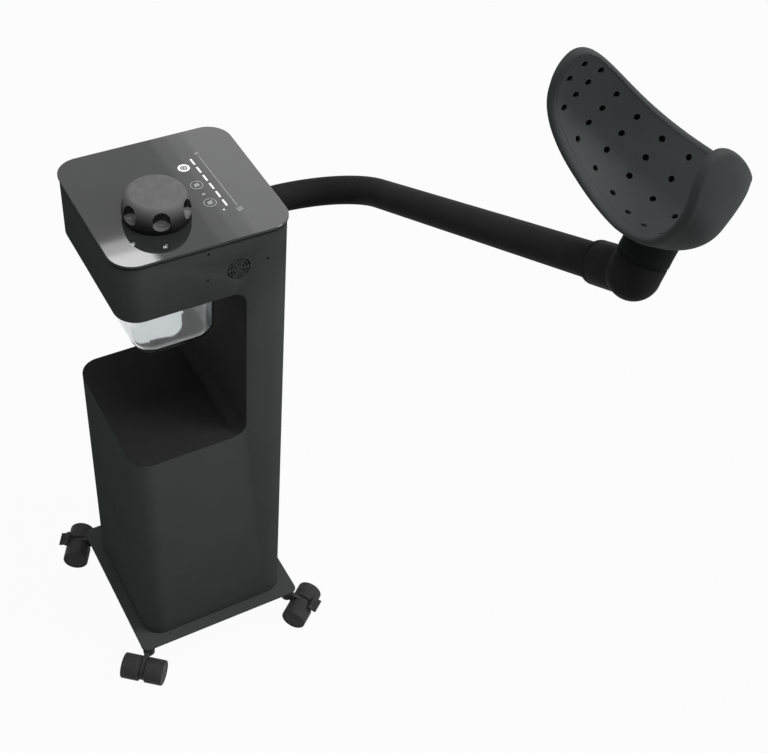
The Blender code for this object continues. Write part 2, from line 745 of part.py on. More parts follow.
def water_pump():
    """Upright pump with a spigot at each end and a foot on the back panel."""
    spigot = PUMP_PIPE_BORE * PIPE_FLAT - GAP
    profile = [
        (spigot, PUMP_BOTTOM - HOSE_OVERLAP), (spigot, PUMP_BOTTOM), (PUMP_RADIUS, PUMP_BOTTOM),
        (PUMP_RADIUS, PUMP_TOP), (OUTLET_RADIUS, PUMP_TOP), (OUTLET_RADIUS, PUMP_TOP + HOSE_OVERLAP),
    ]
    body = moved(turned(profile), Matrix.Translation((OUTLET_X, FEED_Y, 0)))
    pump = new_object("water_pump", body, "castor_plastic")
    half = PUMP_FOOT_WIDTH / 2
    low = (OUTLET_X - half, FEED_Y, PUMP_BOTTOM + PUMP_HEIGHT / 4)
    high = (OUTLET_X + half, HALF_Y - SHEET - GAP, PUMP_TOP - PUMP_HEIGHT / 4)
    combine(pump, box(low, high), "UNION")


def pump_pipe():
    """Pipe from the pump down to the foot of the boiler, which it meets square to the wall."""
    axis = Vector((0, -BOILER_FORWARD, PUMP_PIPE_HEIGHT))
    corner = Vector((OUTLET_X, FEED_Y, PUMP_PIPE_HEIGHT))
    wall = axis + (corner - axis).normalized() * (BOILER_RADIUS + GAP)
    path = bent([Vector((OUTLET_X, FEED_Y, PUMP_BOTTOM - GAP)), corner, wall], HOSE_BEND)
    new_object("pump_pipe", tube(path, PUMP_PIPE_RADIUS, PUMP_PIPE_BORE, PIPE_STEPS), "silicone")


def boiler():
    """Hollow boiler on the base plate with a domed top, an open steam nozzle and a heater band."""
    place = Matrix.Translation((0, -BOILER_FORWARD, PLATE_TOP + GAP))
    turns = [math.radians(90 * step / DOME_STEPS) for step in range(DOME_STEPS + 1)]
    dome = BOILER_RADIUS - BOILER_CROWN
    profile = [(BOILER_RADIUS, 0.0)]
    for turn in turns:
        height = BOILER_HEIGHT - BOILER_DOME * (1 - math.sin(turn))
        profile.append((BOILER_CROWN + dome * math.cos(turn), height))
    nozzle_top = BOILER_HEIGHT + BOILER_NOZZLE
    nozzle_bore = HOSE_NIPPLE - NIPPLE_WALL
    profile += [(HOSE_NIPPLE, BOILER_HEIGHT), (HOSE_NIPPLE, nozzle_top)]
    profile += [(nozzle_bore, nozzle_top), (nozzle_bore, BOILER_HEIGHT - BOILER_WALL)]
    for turn in reversed(turns):
        height = BOILER_HEIGHT - BOILER_WALL - BOILER_DOME * (1 - math.sin(turn))
        profile.append((BOILER_CROWN + dome * math.cos(turn) - BOILER_WALL, height))
    profile.append((BOILER_RADIUS - BOILER_WALL, BOILER_WALL))
    new_object("boiler", turned(profile), "steel", place=place)
    inner = BOILER_RADIUS + GAP
    outer = inner + HEATER_THICK
    high = HEATER_LOW + HEATER_HEIGHT
    band = [(inner, HEATER_LOW), (outer, HEATER_LOW), (outer, high), (inner, high)]
    new_object("boiler_heater", turned(band, ring=True), "brass", place=place)


def steam_hose():
    """Hose from the boiler's nozzle, up behind the front of the column and into the arm's socket."""
    column_y = COLUMN_FRONT + SHEET + 2 * GAP + HOSE_RADIUS
    crossing = SHELF_TOP - SHEET - HOSE_BELOW_SHELF
    path = bent([
        Vector((0, -BOILER_FORWARD, BOILER_TOP + BOILER_NOZZLE - HOSE_OVERLAP)),
        Vector((0, -BOILER_FORWARD, crossing)),
        Vector((0, column_y, crossing)),
        Vector((0, column_y, ARM_HEIGHT)),
        Vector((0, SOCKET_INNER_Y - GAP, ARM_HEIGHT)),
    ], HOSE_BEND)
    new_object("steam_hose", tube(path, HOSE_RADIUS, HOSE_BORE, PIPE_STEPS), "silicone")


def control_board():
    """Touch board against the underside of the glass."""
    half_y = CONTROL_BOARD_DEPTH / 2
    outline = rounded_rectangle(CONTROL_BOARD_WIDTH / 2, half_y, STANDOFF_RADIUS, (0, CONTROL_BOARD_BACK))
    top = GLASS_LOW - GAP
    new_object("control_board", slab(outline, top - BOARD_THICK, top), "board")


def power_board():
    """Board on standoffs at the right wall of the lower box, with its transformer."""
    wall = HALF_X - SHEET - GAP
    face = wall - POWER_BOARD_STANDOFF
    low = PLATE_TOP + POWER_BOARD_LOW
    middle = low + POWER_BOARD_HEIGHT / 2
    half_y = POWER_BOARD_DEPTH / 2
    plate = box((face - BOARD_THICK, -half_y, low), (face, half_y, low + POWER_BOARD_HEIGHT))
    board = new_object("power_board", plate, "board")
    for side_y in (-1, 1):
        for side_z in (-1, 1):
            y = side_y * (half_y - STANDOFF_INSET)
            z = middle + side_z * (POWER_BOARD_HEIGHT / 2 - STANDOFF_INSET)
            post = rod(STANDOFF_RADIUS, face - BOARD_THICK / 2, wall, PIPE_STEPS)
            combine(board, moved(post, Matrix.Translation((0, y, z)) @ ALONG_X), "UNION")
    half = TRANSFORMER_SIZE / 2
    low_corner = (face - BOARD_THICK - TRANSFORMER_SIZE, -half, middle - half)
    high_corner = (face - BOARD_THICK / 2, half, middle + half)
    combine(board, box(low_corner, high_corner), "UNION")


def cooling_fan():
    """Small axial fan behind the grille: a square frame with a spider, and a bladed rotor on its shaft."""
    place = Matrix.Translation((HALF_X - SHEET - GAP - FAN_THICK, FAN_BACK, FAN_HEIGHT)) @ ALONG_X
    pivot = empty("fan_pivot", place=place)
    half = FAN_SIZE / 2
    outline = rounded_rectangle(half, half, STANDOFF_RADIUS)
    frame = new_object("fan_frame", slab(outline, 0.0, FAN_THICK), "castor_plastic", pivot)
    combine(frame, rod(FAN_BORE, -FAN_THICK, 2 * FAN_THICK))
    combine(frame, rod(FAN_HUB, 0.0, FAN_SPIDER), "UNION")
    reach = (FAN_BORE + half) / 2
    for number in range(FAN_STRUTS):
        strut = box((0, -FAN_SPIDER / 2, GAP), (reach, FAN_SPIDER / 2, FAN_SPIDER - GAP))
        turn = Matrix.Rotation(2 * math.pi * number / FAN_STRUTS, 4, "Z")
        combine(frame, moved(strut, turn), "UNION")
    combine(frame, rod(clearing(FAN_SHAFT, PIPE_STEPS), -FAN_THICK, FAN_THICK, PIPE_STEPS))
    low = FAN_SPIDER + 2 * GAP
    high = FAN_THICK - 2 * GAP
    profile = [(FAN_SHAFT, GAP), (FAN_SHAFT, low), (FAN_HUB, low), (FAN_HUB, high)]
    rotor = new_object("fan_rotor", turned(profile, PIPE_STEPS), "castor_plastic", pivot)
    chord = (high - low) / math.sin(math.radians(FAN_PITCH)) - 2 * FAN_BLADE_THICK
    for number in range(FAN_BLADES):
        half = FAN_BLADE_THICK / 2
        blade = box((FAN_HUB - FAN_ROOT, -chord / 2, -half), (FAN_BORE - FAN_TIP, chord / 2, half))
        turn = Matrix.Rotation(2 * math.pi * number / FAN_BLADES, 4, "Z")
        pitch = Matrix.Rotation(math.radians(FAN_PITCH), 4, "X")
        combine(rotor, moved(blade, turn @ Matrix.Translation((0, 0, (low + high) / 2)) @ pitch), "UNION")


def power_inlet():
    """Mains inlet in the back panel: a flanged box with an open cavity for the plug."""
    corner = INLET_WALL

    def loop(grow, z):
        radius = corner + max(grow, -corner / 2)
        outline = rounded_rectangle(INLET_WIDTH / 2 + grow, INLET_HEIGHT / 2 + grow, radius)
        return at_height(outline, z)

    top = GAP + INLET_FLANGE_THICK
    loops = [loop(0.0, -INLET_DEPTH), loop(0.0, GAP), loop(INLET_FLANGE, GAP), loop(INLET_FLANGE, top)]
    loops += [loop(-INLET_WALL, top), loop(-INLET_WALL, INLET_WALL - INLET_DEPTH)]
    place = Matrix.Translation((INLET_X, HALF_Y, PLATE_TOP + INLET_ABOVE_PLATE)) @ ALONG_Y
    new_object("power_inlet", loft(loops), "castor_plastic", place=place)


def arm():
    """Socket and bush in the back, the bent tube that swings in them, and the collar near its end."""
    place = Matrix.Translation((0, HALF_Y, ARM_HEIGHT))
    flange_top = GAP + SOCKET_FLANGE_THICK
    bush = ARM_RADIUS + GAP + BUSH_WALL
    sleeve_bore = bush + GAP
    sleeve = sleeve_bore + SOCKET_WALL
    end = SOCKET_END - SOCKET_DEPTH
    tip = -SOCKET_DEPTH - HOSE_OVERLAP
    profile = [
        (HOSE_NIPPLE, tip), (HOSE_NIPPLE, -SOCKET_DEPTH), (sleeve, -SOCKET_DEPTH), (sleeve, GAP),
        (SOCKET_FLANGE, GAP), (SOCKET_FLANGE, flange_top), (sleeve_bore, flange_top), (sleeve_bore, end),
        (HOSE_NIPPLE - NIPPLE_WALL, end), (HOSE_NIPPLE - NIPPLE_WALL, tip),
    ]
    new_object("arm_socket", turned(profile, ring=True), "castor_plastic", place=place @ ALONG_Y)
    bore = clearing(ARM_RADIUS)
    profile = [(bore, end + GAP), (bush, end + GAP), (bush, flange_top), (bore, flange_top)]
    new_object("arm_bush", turned(profile, ring=True), "silicone", place=place @ ALONG_Y)

    pivot = empty("arm_pivot", place=place @ Matrix.Rotation(math.radians(-ARM_RISE), 4, "Y"))
    collar_start = ARM_LENGTH - COLLAR_BEFORE_ELBOW
    tube_end = collar_start + COLLAR_LENGTH + ELBOW_SOCKET
    corners = [Vector((0, end + 2 * GAP, 0)), Vector((0, ARM_BACK, 0)), Vector((tube_end, ARM_BACK, 0))]
    path = bent(corners, ARM_BEND, ARM_BEND_STEPS)
    new_object("arm_tube", tube(path, ARM_RADIUS, ARM_RADIUS - ARM_WALL), "tube_coat", pivot)
    inner = clearing(ARM_RADIUS)
    profile = [
        (inner, 0.0), (ELBOW_RADIUS - COLLAR_CHAMFER, 0.0), (ELBOW_RADIUS, COLLAR_CHAMFER),
        (ELBOW_RADIUS, COLLAR_LENGTH), (inner, COLLAR_LENGTH),
    ]
    place = Matrix.Translation((collar_start, ARM_BACK, 0)) @ ALONG_X
    new_object("tube_collar", turned(profile, ring=True), "tube_coat", pivot, place)
    return pivot


def elbow(arm_pivot):
    """Elbow on the tube's end with a ball corner and a spigot for the hood, and the seal on its seam."""
    lean = Matrix.Rotation(math.radians(-ELBOW_LEAN), 4, "X")
    pivot = empty("elbow_pivot", arm_pivot, Matrix.Translation((ARM_LENGTH, ARM_BACK, 0)) @ lean)
    start = COLLAR_LENGTH + GAP - COLLAR_BEFORE_ELBOW
    profile = [(ELBOW_RADIUS, start)]
    ball_start = -math.acos(ELBOW_RADIUS / BRANCH_RADIUS)
    for step in range(BALL_STEPS):
        turn = ball_start + (math.pi / 2 - ball_start) * step / BALL_STEPS
        profile.append((BRANCH_RADIUS * math.cos(turn), BRANCH_RADIUS * math.sin(turn)))
    body = new_object("elbow", moved(turned(profile), ALONG_X), "tube_coat", pivot)
    to_neck = Matrix.Rotation(math.radians(90 - ELBOW_TURN), 4, "Y")
    spigot_top = SEAM + 2 * GAP + NECK_SEAL_HEIGHT + NECK_SPIGOT_LENGTH
    branch = BRANCH_RADIUS - GAP
    neck = turned([(branch, 0.0), (branch, SEAM), (NECK_SPIGOT, SEAM), (NECK_SPIGOT, spigot_top)])
    combine(body, moved(neck, to_neck), "UNION")
    socket_end = start + ELBOW_SOCKET
    bore = clearing(ARM_RADIUS)
    profile = [(bore, start - COLLAR_LENGTH), (bore, socket_end), (ELBOW_PASSAGE, socket_end)]
    for step in range(CORNER_STEPS):
        turn = math.radians(90 * step / CORNER_STEPS)
        profile.append((ELBOW_PASSAGE * math.cos(turn), ELBOW_PASSAGE * math.sin(turn)))
    combine(body, moved(turned(profile), ALONG_X))
    combine(body, moved(rod(ELBOW_PASSAGE - GAP, 0.0, spigot_top + COLLAR_LENGTH), to_neck))
    inner = clearing(NECK_SPIGOT)
    outer = BRANCH_RADIUS - NECK_SEAL_INSET
    low = SEAM + GAP
    high = low + NECK_SEAL_HEIGHT
    seal = [(inner, low), (outer, low), (outer, high), (inner, high)]
    new_object("neck_seal", turned(seal, ring=True), "rubber", pivot, to_neck)
    return pivot


def hood_point(across, along, grow, depth):
    """Point of the bowl in the hood's frame.

    across and along run from -1 to 1 over the outline, grow widens the outline and depth is measured
    outwards from the inner face.
    """
    x = across * math.sqrt(1 - along ** 2 / 2)
    y = along * math.sqrt(1 - across ** 2 / 2)
    half = (HOOD_HALF_LOW if y < 0 else HOOD_HALF_HIGH) + grow
    taper = HOOD_TAPER_LOW if y < 0 else HOOD_TAPER_HIGH
    width = half * (1 - taper * abs(x) ** HOOD_TAPER_POWER) * math.sqrt(1 + x ** 2 + x ** 4)
    return bowl((HOOD_HALF_ARC + grow) * x, tip_lift(x) + width * y, depth)


def tip_lift(share):
    """How far the middle line has climbed at a share of the way to a tip."""
    return HOOD_TIP_LIFT * abs(share) ** HOOD_LIFT_POWER


def cross_section(arc):
    """Place and turn of the trough's section, a round crown with flatter wings, at an arc length."""
    crown_turn = min(abs(arc), HOOD_CROWN_ARC) / HOOD_RADIUS
    turn = crown_turn + max(abs(arc) - HOOD_CROWN_ARC, 0.0) / WING_RADIUS
    x = HOOD_RADIUS * math.sin(crown_turn) + WING_RADIUS * (math.sin(turn) - math.sin(crown_turn))
    z = HOOD_RADIUS * (1 - math.cos(crown_turn)) + WING_RADIUS * (math.cos(crown_turn) - math.cos(turn))
    return math.copysign(x, arc), z, math.copysign(turn, arc)


def bowl(arc, along, depth):
    """Point of the bowl at an arc length from its middle line and a place along its trough axis."""
    curl = HOOD_CURL_LOW if along < 0 else HOOD_CURL_HIGH
    narrowing = math.tan(math.radians(HOOD_NARROWING))
    rise = along ** 2 / (2 * curl) + along * narrowing
    x, z, turn = cross_section(arc)
    inward = Vector((-math.sin(turn), -along / curl - narrowing, math.cos(turn))).normalized()
    local = Vector((x - rise * math.sin(turn), along, z + rise * math.cos(turn))) - inward * depth
    lean = math.radians(HOOD_LEAN)
    trough = Vector((0, math.sin(lean), math.cos(lean)))
    facing = Vector((0, -math.cos(lean), math.sin(lean)))
    return Vector((local.x, 0, HOOD_RISE)) + trough * local.y + facing * local.z


def hood_grid(mesh, grow, depth_at):
    """A quilt of faces over the bowl and the vertices of its edge, in order."""
    rows = []
    for j in range(HOOD_CELLS_ALONG + 1):
        along = 2 * j / HOOD_CELLS_ALONG - 1
        row = []
        for i in range(HOOD_CELLS_ACROSS + 1):
            across = 2 * i / HOOD_CELLS_ACROSS - 1
            row.append(mesh.verts.new(hood_point(across, along, grow, depth_at(across, along))))
        rows.append(row)
    for lower, upper in zip(rows, rows[1:]):
        for i in range(HOOD_CELLS_ACROSS):
            mesh.faces.new((lower[i], lower[i + 1], upper[i + 1], upper[i]))
    edge = rows[0] + [row[-1] for row in rows[1:-1]] + rows[-1][::-1] + [row[0] for row in rows[-2:0:-1]]
    return edge


def hood_edge(mesh, grow, depth):
    """The same edge as the quilt's, on a wider outline or at another depth, as free vertices."""
    turns = [2 * i / HOOD_CELLS_ACROSS - 1 for i in range(HOOD_CELLS_ACROSS + 1)]
    rises = [2 * j / HOOD_CELLS_ALONG - 1 for j in range(1, HOOD_CELLS_ALONG)]
    places = [(x, -1) for x in turns] + [(1, y) for y in rises]
    places += [(x, 1) for x in reversed(turns)] + [(-1, y) for y in reversed(rises)]
    return [mesh.verts.new(hood_point(x, y, grow, depth)) for x, y in places]


def bridge(mesh, loops):
    """Join a row of equal closed loops of vertices."""
    for lower, upper in zip(loops, loops[1:]):
        for i in range(len(lower)):
            j = (i + 1) % len(lower)
            mesh.faces.new((lower[i], lower[j], upper[j], upper[i]))


def back_depth(across, along):
    """Depth of the hood's back, which swells towards the middle."""
    return 2 * RIM_RADIUS + HOOD_BULGE * (1 - across ** 4) * (1 - along ** 4)


def hood(elbow_pivot):
    """Moulded shell with its round rim and neck, and the perforated liner that closes the steam space."""
    turn = Matrix.Rotation(math.radians(90 - ELBOW_TURN), 4, "Y")
    twist = Matrix.Rotation(math.radians(HOOD_TWIST), 4, "Z")
    pivot = empty("hood_pivot", elbow_pivot, turn @ twist)

    mesh = bmesh.new()
    floor = hood_grid(mesh, LINER_CLEARANCE, lambda x, y: back_depth(x, y) - HOOD_WALL)
    loops = [floor, hood_edge(mesh, LINER_CLEARANCE, 0.0)]
    for step in range(RIM_STEPS + 1):
        angle = math.pi * step / RIM_STEPS
        grow = RIM_WIDTH + RIM_RADIUS * math.sin(angle)
        loops.append(hood_edge(mesh, grow, RIM_RADIUS * (1 - math.cos(angle))))
    loops.append(hood_grid(mesh, 0.0, back_depth))
    bridge(mesh, loops)
    shell = new_object("hood_shell", mesh, "hood_plastic", pivot)

    foot = SEAM + 2 * GAP + NECK_SEAL_HEIGHT
    wall_depth = back_depth(0, 0) - HOOD_WALL / 2
    loops = [[] for _ in range(NECK_LOFT_STEPS + 1)]
    for start in circle(BRANCH_RADIUS, foot):
        flat = Vector((start.x, start.y, 0)).normalized()
        end = bowl(NECK_RING_ACROSS * flat.x, NECK_RING_SHIFT + NECK_RING_ALONG * flat.y, wall_depth)
        knee = Vector((start.x, start.y, end.z - (end.z - foot) * NECK_FLARE))
        for step, loop in enumerate(loops):
            t = step / NECK_LOFT_STEPS
            loop.append(start * (1 - t) ** 2 + knee * 2 * t * (1 - t) + end * t ** 2)
    combine(shell, loft(loops), "UNION")
    socket_end = foot + NECK_SPIGOT_LENGTH + 2 * GAP
    combine(shell, rod(clearing(NECK_SPIGOT), foot - COLLAR_LENGTH, socket_end))
    combine(shell, rod(NECK_PASSAGE, foot, HOOD_RISE, PIPE_STEPS))

    mesh = bmesh.new()
    bridge(mesh, [hood_grid(mesh, 0.0, lambda x, y: 0.0), hood_grid(mesh, 0.0, lambda x, y: LINER_THICK)])
    liner = new_object("hood_liner", mesh, "hood_plastic", pivot)
    combine(liner, join([hood_hole(arc, along) for arc, along in hole_places()]))


def hole_places():
    """Arc length and place along the trough of every steam hole."""
    places = []
    for column in range(HOLE_COLUMNS):
        arc = (column - (HOLE_COLUMNS - 1) / 2) * HOLE_PITCH
        places += [(arc, hole_along(arc, row)) for row in range(HOLE_ROWS)]
    for side in (-1, 1):
        places += [(side * HOLE_TIP_ARC, hole_along(HOLE_TIP_ARC, row)) for row in HOLE_TIP_ROWS]
    return places


def hole_along(arc, row):
    """Place along the trough of one hole in a column."""
    share = abs(arc) / HOOD_HALF_ARC
    step = (HOLE_ROWS - 1) / 2 - row
    return step * HOLE_ROW_PITCH * (1 - HOLE_ROW_TAPER * share) + tip_lift(share)


def hood_hole(arc, along):
    """A round cutter square to the liner."""
    inside = bowl(arc, along, -LINER_THICK)
    outside = bowl(arc, along, 2 * LINER_THICK)
    return loft(rings([inside, outside], HOLE_RADIUS, HOLE_STEPS))


def castor(corner, side_x, side_y, heading, braked):
    """Stem under the plate, swivelling housing with its axle and two barrel wheels, and a brake pedal."""
    x = side_x * (HALF_X + PLATE_MARGIN_X - CASTOR_INSET_X)
    y = side_y * (HALF_Y + PLATE_MARGIN_Y - CASTOR_INSET_Y)
    at_corner = Matrix.Translation((x, y, 0))
    pivot = empty(f"{corner}_castor_pivot", place=at_corner @ Matrix.Rotation(math.radians(heading), 4, "Z"))
    flange_top = PLATE_LOW - GAP
    cone_top = flange_top - STEM_FLANGE_THICK
    cone_low = cone_top - STEM_CONE
    bore_floor = SWIVEL_SOCKET_LOW + SWIVEL_SOCKET_FLOOR
    profile = [
        (STEM_FLANGE, flange_top), (STEM_FLANGE, cone_top), (SWIVEL_RADIUS, cone_low),
        (STEM_PIN, cone_low), (STEM_PIN, bore_floor + GAP),
    ]
    new_object(f"{corner}_castor_stem", turned(profile, PIPE_STEPS), "castor_plastic", place=at_corner)

    socket_top = cone_low - GAP
    bore = clearing(STEM_PIN, PIPE_STEPS)
    profile = [
        (SWIVEL_RADIUS, SWIVEL_SOCKET_LOW), (SWIVEL_RADIUS, socket_top),
        (bore, socket_top), (bore, bore_floor),
    ]
    housing = new_object(f"{corner}_castor_housing", turned(profile, PIPE_STEPS), "castor_plastic", pivot)
    half = WEB_THICK / 2
    hub = Vector((CASTOR_TRAIL, 0, WHEEL_RADIUS))
    leg = [
        Vector((bore, 0, SWIVEL_SOCKET_LOW + GAP)),
        hub + Vector((-LEG_BACK, 0, -LEG_DROP)),
        hub,
        hub + Vector((0, 0, LEG_RISE)),
        Vector((bore, 0, socket_top - GAP)),
    ]
    combine(housing, plate_across(leg, half - GAP), "UNION")
    at_hub = Matrix.Translation(hub) @ ALONG_Y
    combine(housing, moved(rod(WEB_RADIUS, -half, half, WHEEL_STEPS), at_hub), "UNION")
    if braked:
        hinge = hub + Vector((PEDAL_HINGE_X, 0, PEDAL_HINGE_Z))
        at_hinge = Matrix.Translation(hinge) @ ALONG_Y
        across = Vector((PEDAL_HINGE_Z, 0, -PEDAL_HINGE_X)).normalized() * PEDAL_LUG
        lug = [hub + across, hinge + across, hinge - across, hub - across]
        combine(housing, plate_across(lug, half - 2 * GAP), "UNION")
        combine(housing, moved(rod(PEDAL_EAR, GAP - half, half - GAP, PIPE_STEPS), at_hinge), "UNION")
        pin_bore = clearing(PEDAL_PIN, PIPE_STEPS)
        combine(housing, moved(rod(pin_bore, -WEB_THICK, WEB_THICK, PIPE_STEPS), at_hinge))
        brake_pedal(corner, pivot, hinge)
    axle_bore = clearing(AXLE_RADIUS, PIPE_STEPS)
    combine(housing, moved(rod(axle_bore, -WEB_THICK, WEB_THICK, PIPE_STEPS), at_hub))

    reach = WHEEL_GAP / 2 + WHEEL_WIDTH - WHEEL_FACE
    axle = rod(AXLE_RADIUS, GAP - reach, reach - GAP, PIPE_STEPS)
    new_object(f"{corner}_castor_axle", axle, "steel", pivot, at_hub)
    flat = 1 / math.cos(math.pi / WHEEL_STEPS)
    profile = [
        (WHEEL_RADIUS - WHEEL_EDGE, WHEEL_WIDTH), (WHEEL_RADIUS, WHEEL_WIDTH - WHEEL_EDGE),
        (WHEEL_RADIUS, WHEEL_EDGE), (WHEEL_RADIUS - WHEEL_EDGE, 0.0),
        (AXLE_RADIUS + GAP, 0.0), (AXLE_RADIUS + GAP, WHEEL_WIDTH - WHEEL_FACE + GAP),
    ]
    for number, side in ((1, 1), (2, -1)):
        place = Matrix.Translation(hub + Vector((0, side * WHEEL_GAP / 2, 0)))
        lay = Matrix.Rotation(math.radians(-90 * side), 4, "X")
        wheel = turned([(radius * flat, z) for radius, z in profile], WHEEL_STEPS)
        new_object(f"{corner}_wheel_{number}", wheel, "castor_plastic", pivot, place @ lay)


def plate_across(outline, half):
    """An outline in the XZ plane thickened across Y."""
    return loft([[point + Vector((0, y, 0)) for point in outline] for y in (-half, half)])


def brake_pedal(corner, castor_pivot, hinge):
    """Foot pedal on ears beside the housing's lug, with its pin through the lug."""
    pivot = empty(f"{corner}_pedal_pivot", castor_pivot, Matrix.Translation(hinge))
    half = PEDAL_WIDTH / 2
    barrel = moved(rod(PEDAL_EAR, -half, half, PIPE_STEPS), ALONG_Y)
    pedal = new_object(f"{corner}_brake_pedal", barrel, "castor_plastic", pivot)
    tongue = box((0, GAP - half, -PEDAL_THICK / 2), (PEDAL_LENGTH, half - GAP, PEDAL_THICK / 2))
    tilt = Matrix.Rotation(math.radians(PEDAL_TILT), 4, "Y")
    combine(pedal, moved(tongue, tilt), "UNION")
    slot = WEB_THICK / 2 + GAP
    back = 2 * PEDAL_EAR
    combine(pedal, box((-back, -slot, -back), (PEDAL_EAR + 2 * GAP, slot, back)))
    pin = rod(PEDAL_PIN, -WEB_THICK / 2 - PEDAL_EAR, WEB_THICK / 2 + PEDAL_EAR, PIPE_STEPS)
    combine(pedal, moved(pin, ALONG_Y), "UNION")


def build():
    clear_scene()
    base_plate()
    side_shells()
    back_panel()
    recess_liner()
    shelf_mat()
    top_frame()
    glass_top()
    water_tank()
    tank_lid()
    filler_neck()
    filler_cap()
    tank_outlet()
    feed_hose()
    water_pump()
    pump_pipe()
    boiler()
    steam_hose()
    control_board()
    power_board()
    cooling_fan()
    power_inlet()
    hood(elbow(arm()))
    for corner, (side_x, side_y, heading, braked) in CASTORS.items():
        castor(corner, side_x, side_y, heading, braked)


build()
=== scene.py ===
import json
import math

import bmesh
import bpy
from mathutils import Matrix, Vector


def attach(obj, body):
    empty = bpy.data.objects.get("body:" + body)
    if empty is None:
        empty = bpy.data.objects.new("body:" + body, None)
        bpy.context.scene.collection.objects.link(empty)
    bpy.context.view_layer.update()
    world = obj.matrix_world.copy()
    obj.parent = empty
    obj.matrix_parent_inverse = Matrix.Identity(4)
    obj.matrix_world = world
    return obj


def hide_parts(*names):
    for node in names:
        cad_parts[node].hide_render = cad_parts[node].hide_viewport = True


# The looks of the hair steamer: finer skins over its solids, finishes, signs on the glass, fasteners,
# light and the photograph's camera. Metres, +Z up, the floor at z = 0.
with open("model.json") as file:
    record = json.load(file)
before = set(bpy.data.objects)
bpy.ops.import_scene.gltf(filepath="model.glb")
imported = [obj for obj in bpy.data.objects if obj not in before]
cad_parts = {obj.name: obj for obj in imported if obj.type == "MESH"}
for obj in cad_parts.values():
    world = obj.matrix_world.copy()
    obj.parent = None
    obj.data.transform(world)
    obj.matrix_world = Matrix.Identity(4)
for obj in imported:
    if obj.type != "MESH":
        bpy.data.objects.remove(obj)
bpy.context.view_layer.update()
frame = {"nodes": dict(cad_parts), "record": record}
SLOTS = {entry["node"]: entry["material_slot"] for entry in frame["record"]["subparts"]}

# Roundness of the skins and softness of their edges
GAP = 0.0003
SHEET = 0.002
ROUND_STEPS = 64
CORNER_STEPS = 12
CORNER_POINTS = CORNER_STEPS + 3
FLAT_SUPPORT = 0.003
BEND_STEPS = 24
SHARP_ANGLE = 25.0
MOULDED_ANGLE = 70.0
BEVEL_ANGLE = 40.0
DOME_END = 85.0
SOFT_EDGE = 0.0004
FINE_EDGE = 0.0003
BOLD_EDGE = 0.0008
BOLD_STEPS = 3

# Cabinet
PLATE_LOW = 0.058
PLATE_TOP = 0.062
PLATE_MARGIN_X = 0.021
PLATE_MARGIN_Y = 0.019
PLATE_RADIUS = 0.012
HALF_X = 0.13
HALF_Y = 0.1335
CASING_LOW = PLATE_TOP + GAP
CASING_TOP = 0.923
CASING_RADIUS = 0.035
MAT_TOP = 0.5225
MAT_THICK = 0.0015
SHELF_TOP = MAT_TOP - MAT_THICK - GAP
HEAD_FLOOR = 0.827
RECESS_RADIUS = 0.022
COLUMN_DEPTH = 0.0761
COLUMN_FRONT = HALF_Y - COLUMN_DEPTH

# Glass top and its frame
GLASS_LOW = 0.928
GLASS_TOP = 0.932
GLASS_OVERHANG = 0.002
GLASS_CHAMFER = 0.0004
GLASS_EDGE_TILT = 0.3
FRAME_INSET = 0.0005
FRAME_WIDTH = 0.0095

# Water tank
TANK_WIDTH = 0.2
TANK_DEPTH = 0.133
TANK_FORWARD = 0.0365
TANK_HANG = 0.1135
TANK_LOW = HEAD_FLOOR - TANK_HANG
TANK_EDGE = 0.031
TANK_CORNER = 0.034
TANK_WALL = 0.003
TANK_FLANGE = 0.008
TANK_TOP = HEAD_FLOOR + SHEET + GAP + TANK_WALL
OUTLET_X = -0.04
OUTLET_RISE = 0.04
OUTLET_HEIGHT = TANK_LOW + OUTLET_RISE
OUTLET_RADIUS = 0.006

# Filler cap
FILLER_X = 0.037
FILLER_Y = -0.039
NECK_HOLE = 0.0303
CAP_RADIUS = 0.0493
CAP_HEIGHT = 0.0405
CAP_TOP_RADIUS = 0.0362
CAP_SKIRT_HEIGHT = 0.007
CAP_SKIRT_INSET = 0.0008
CAP_HOLLOW = 0.041
CAP_HOLLOW_HEIGHT = 0.006
CAP_PLUG = 0.0253
CAP_PLUG_DEPTH = 0.01
CAP_STEPS = 120
CROWN_EDGE = 0.0007
SKIRT_EDGE = 0.0005
# Painted shade on the cap's flank: distances from the middle of its top where the painted shade starts and
# where it is deepest, and the share of the colour left there
CAP_PAINTED_SHADE_START = 0.038
CAP_PAINTED_SHADE_END = 0.058
CAP_PAINTED_SHADE_DEPTH = 0.12
SCALLOPS = 6
SCALLOP_ANGLE = -13.0
SCALLOP_RADIUS = 0.0125
SCALLOP_REACH = 0.0468
SCALLOP_FLOOR = 0.0082
SCALLOP_TOP = 0.036
SCALLOP_ROUND = 0.009
SCALLOP_SKIN = 0.0003
SCALLOP_WALL_TILT = 0.35
SCALLOP_STEPS = 32

# Fan grille
FAN_BACK = 0.045
FAN_DROP = 0.0494
FAN_HEIGHT = CASING_TOP - FAN_DROP
GRILLE_RINGS = 4
GRILLE_SPOKES = 6
GRILLE_PITCH = 0.0042
GRILLE_SLOT = 0.0024
GRILLE_BRIDGE = 0.0022
GRILLE_ARC_STEPS = 8

# Mains inlet in the back
INLET_X = 0.05
INLET_RISE = 0.058
INLET_HEIGHT = PLATE_TOP + INLET_RISE
INLET_WIDTH = 0.0275
INLET_TALL = 0.02
INLET_DEPTH = 0.02
INLET_WALL = 0.002
INLET_FLANGE = 0.006
INLET_FLANGE_THICK = 0.003
BLADE_PLACES = ((-0.007, -0.002), (0.007, -0.002), (0.0, 0.002))
BLADE_HALF_WIDTH = 0.001
BLADE_HALF_TALL = 0.002
BLADE_END = -0.004

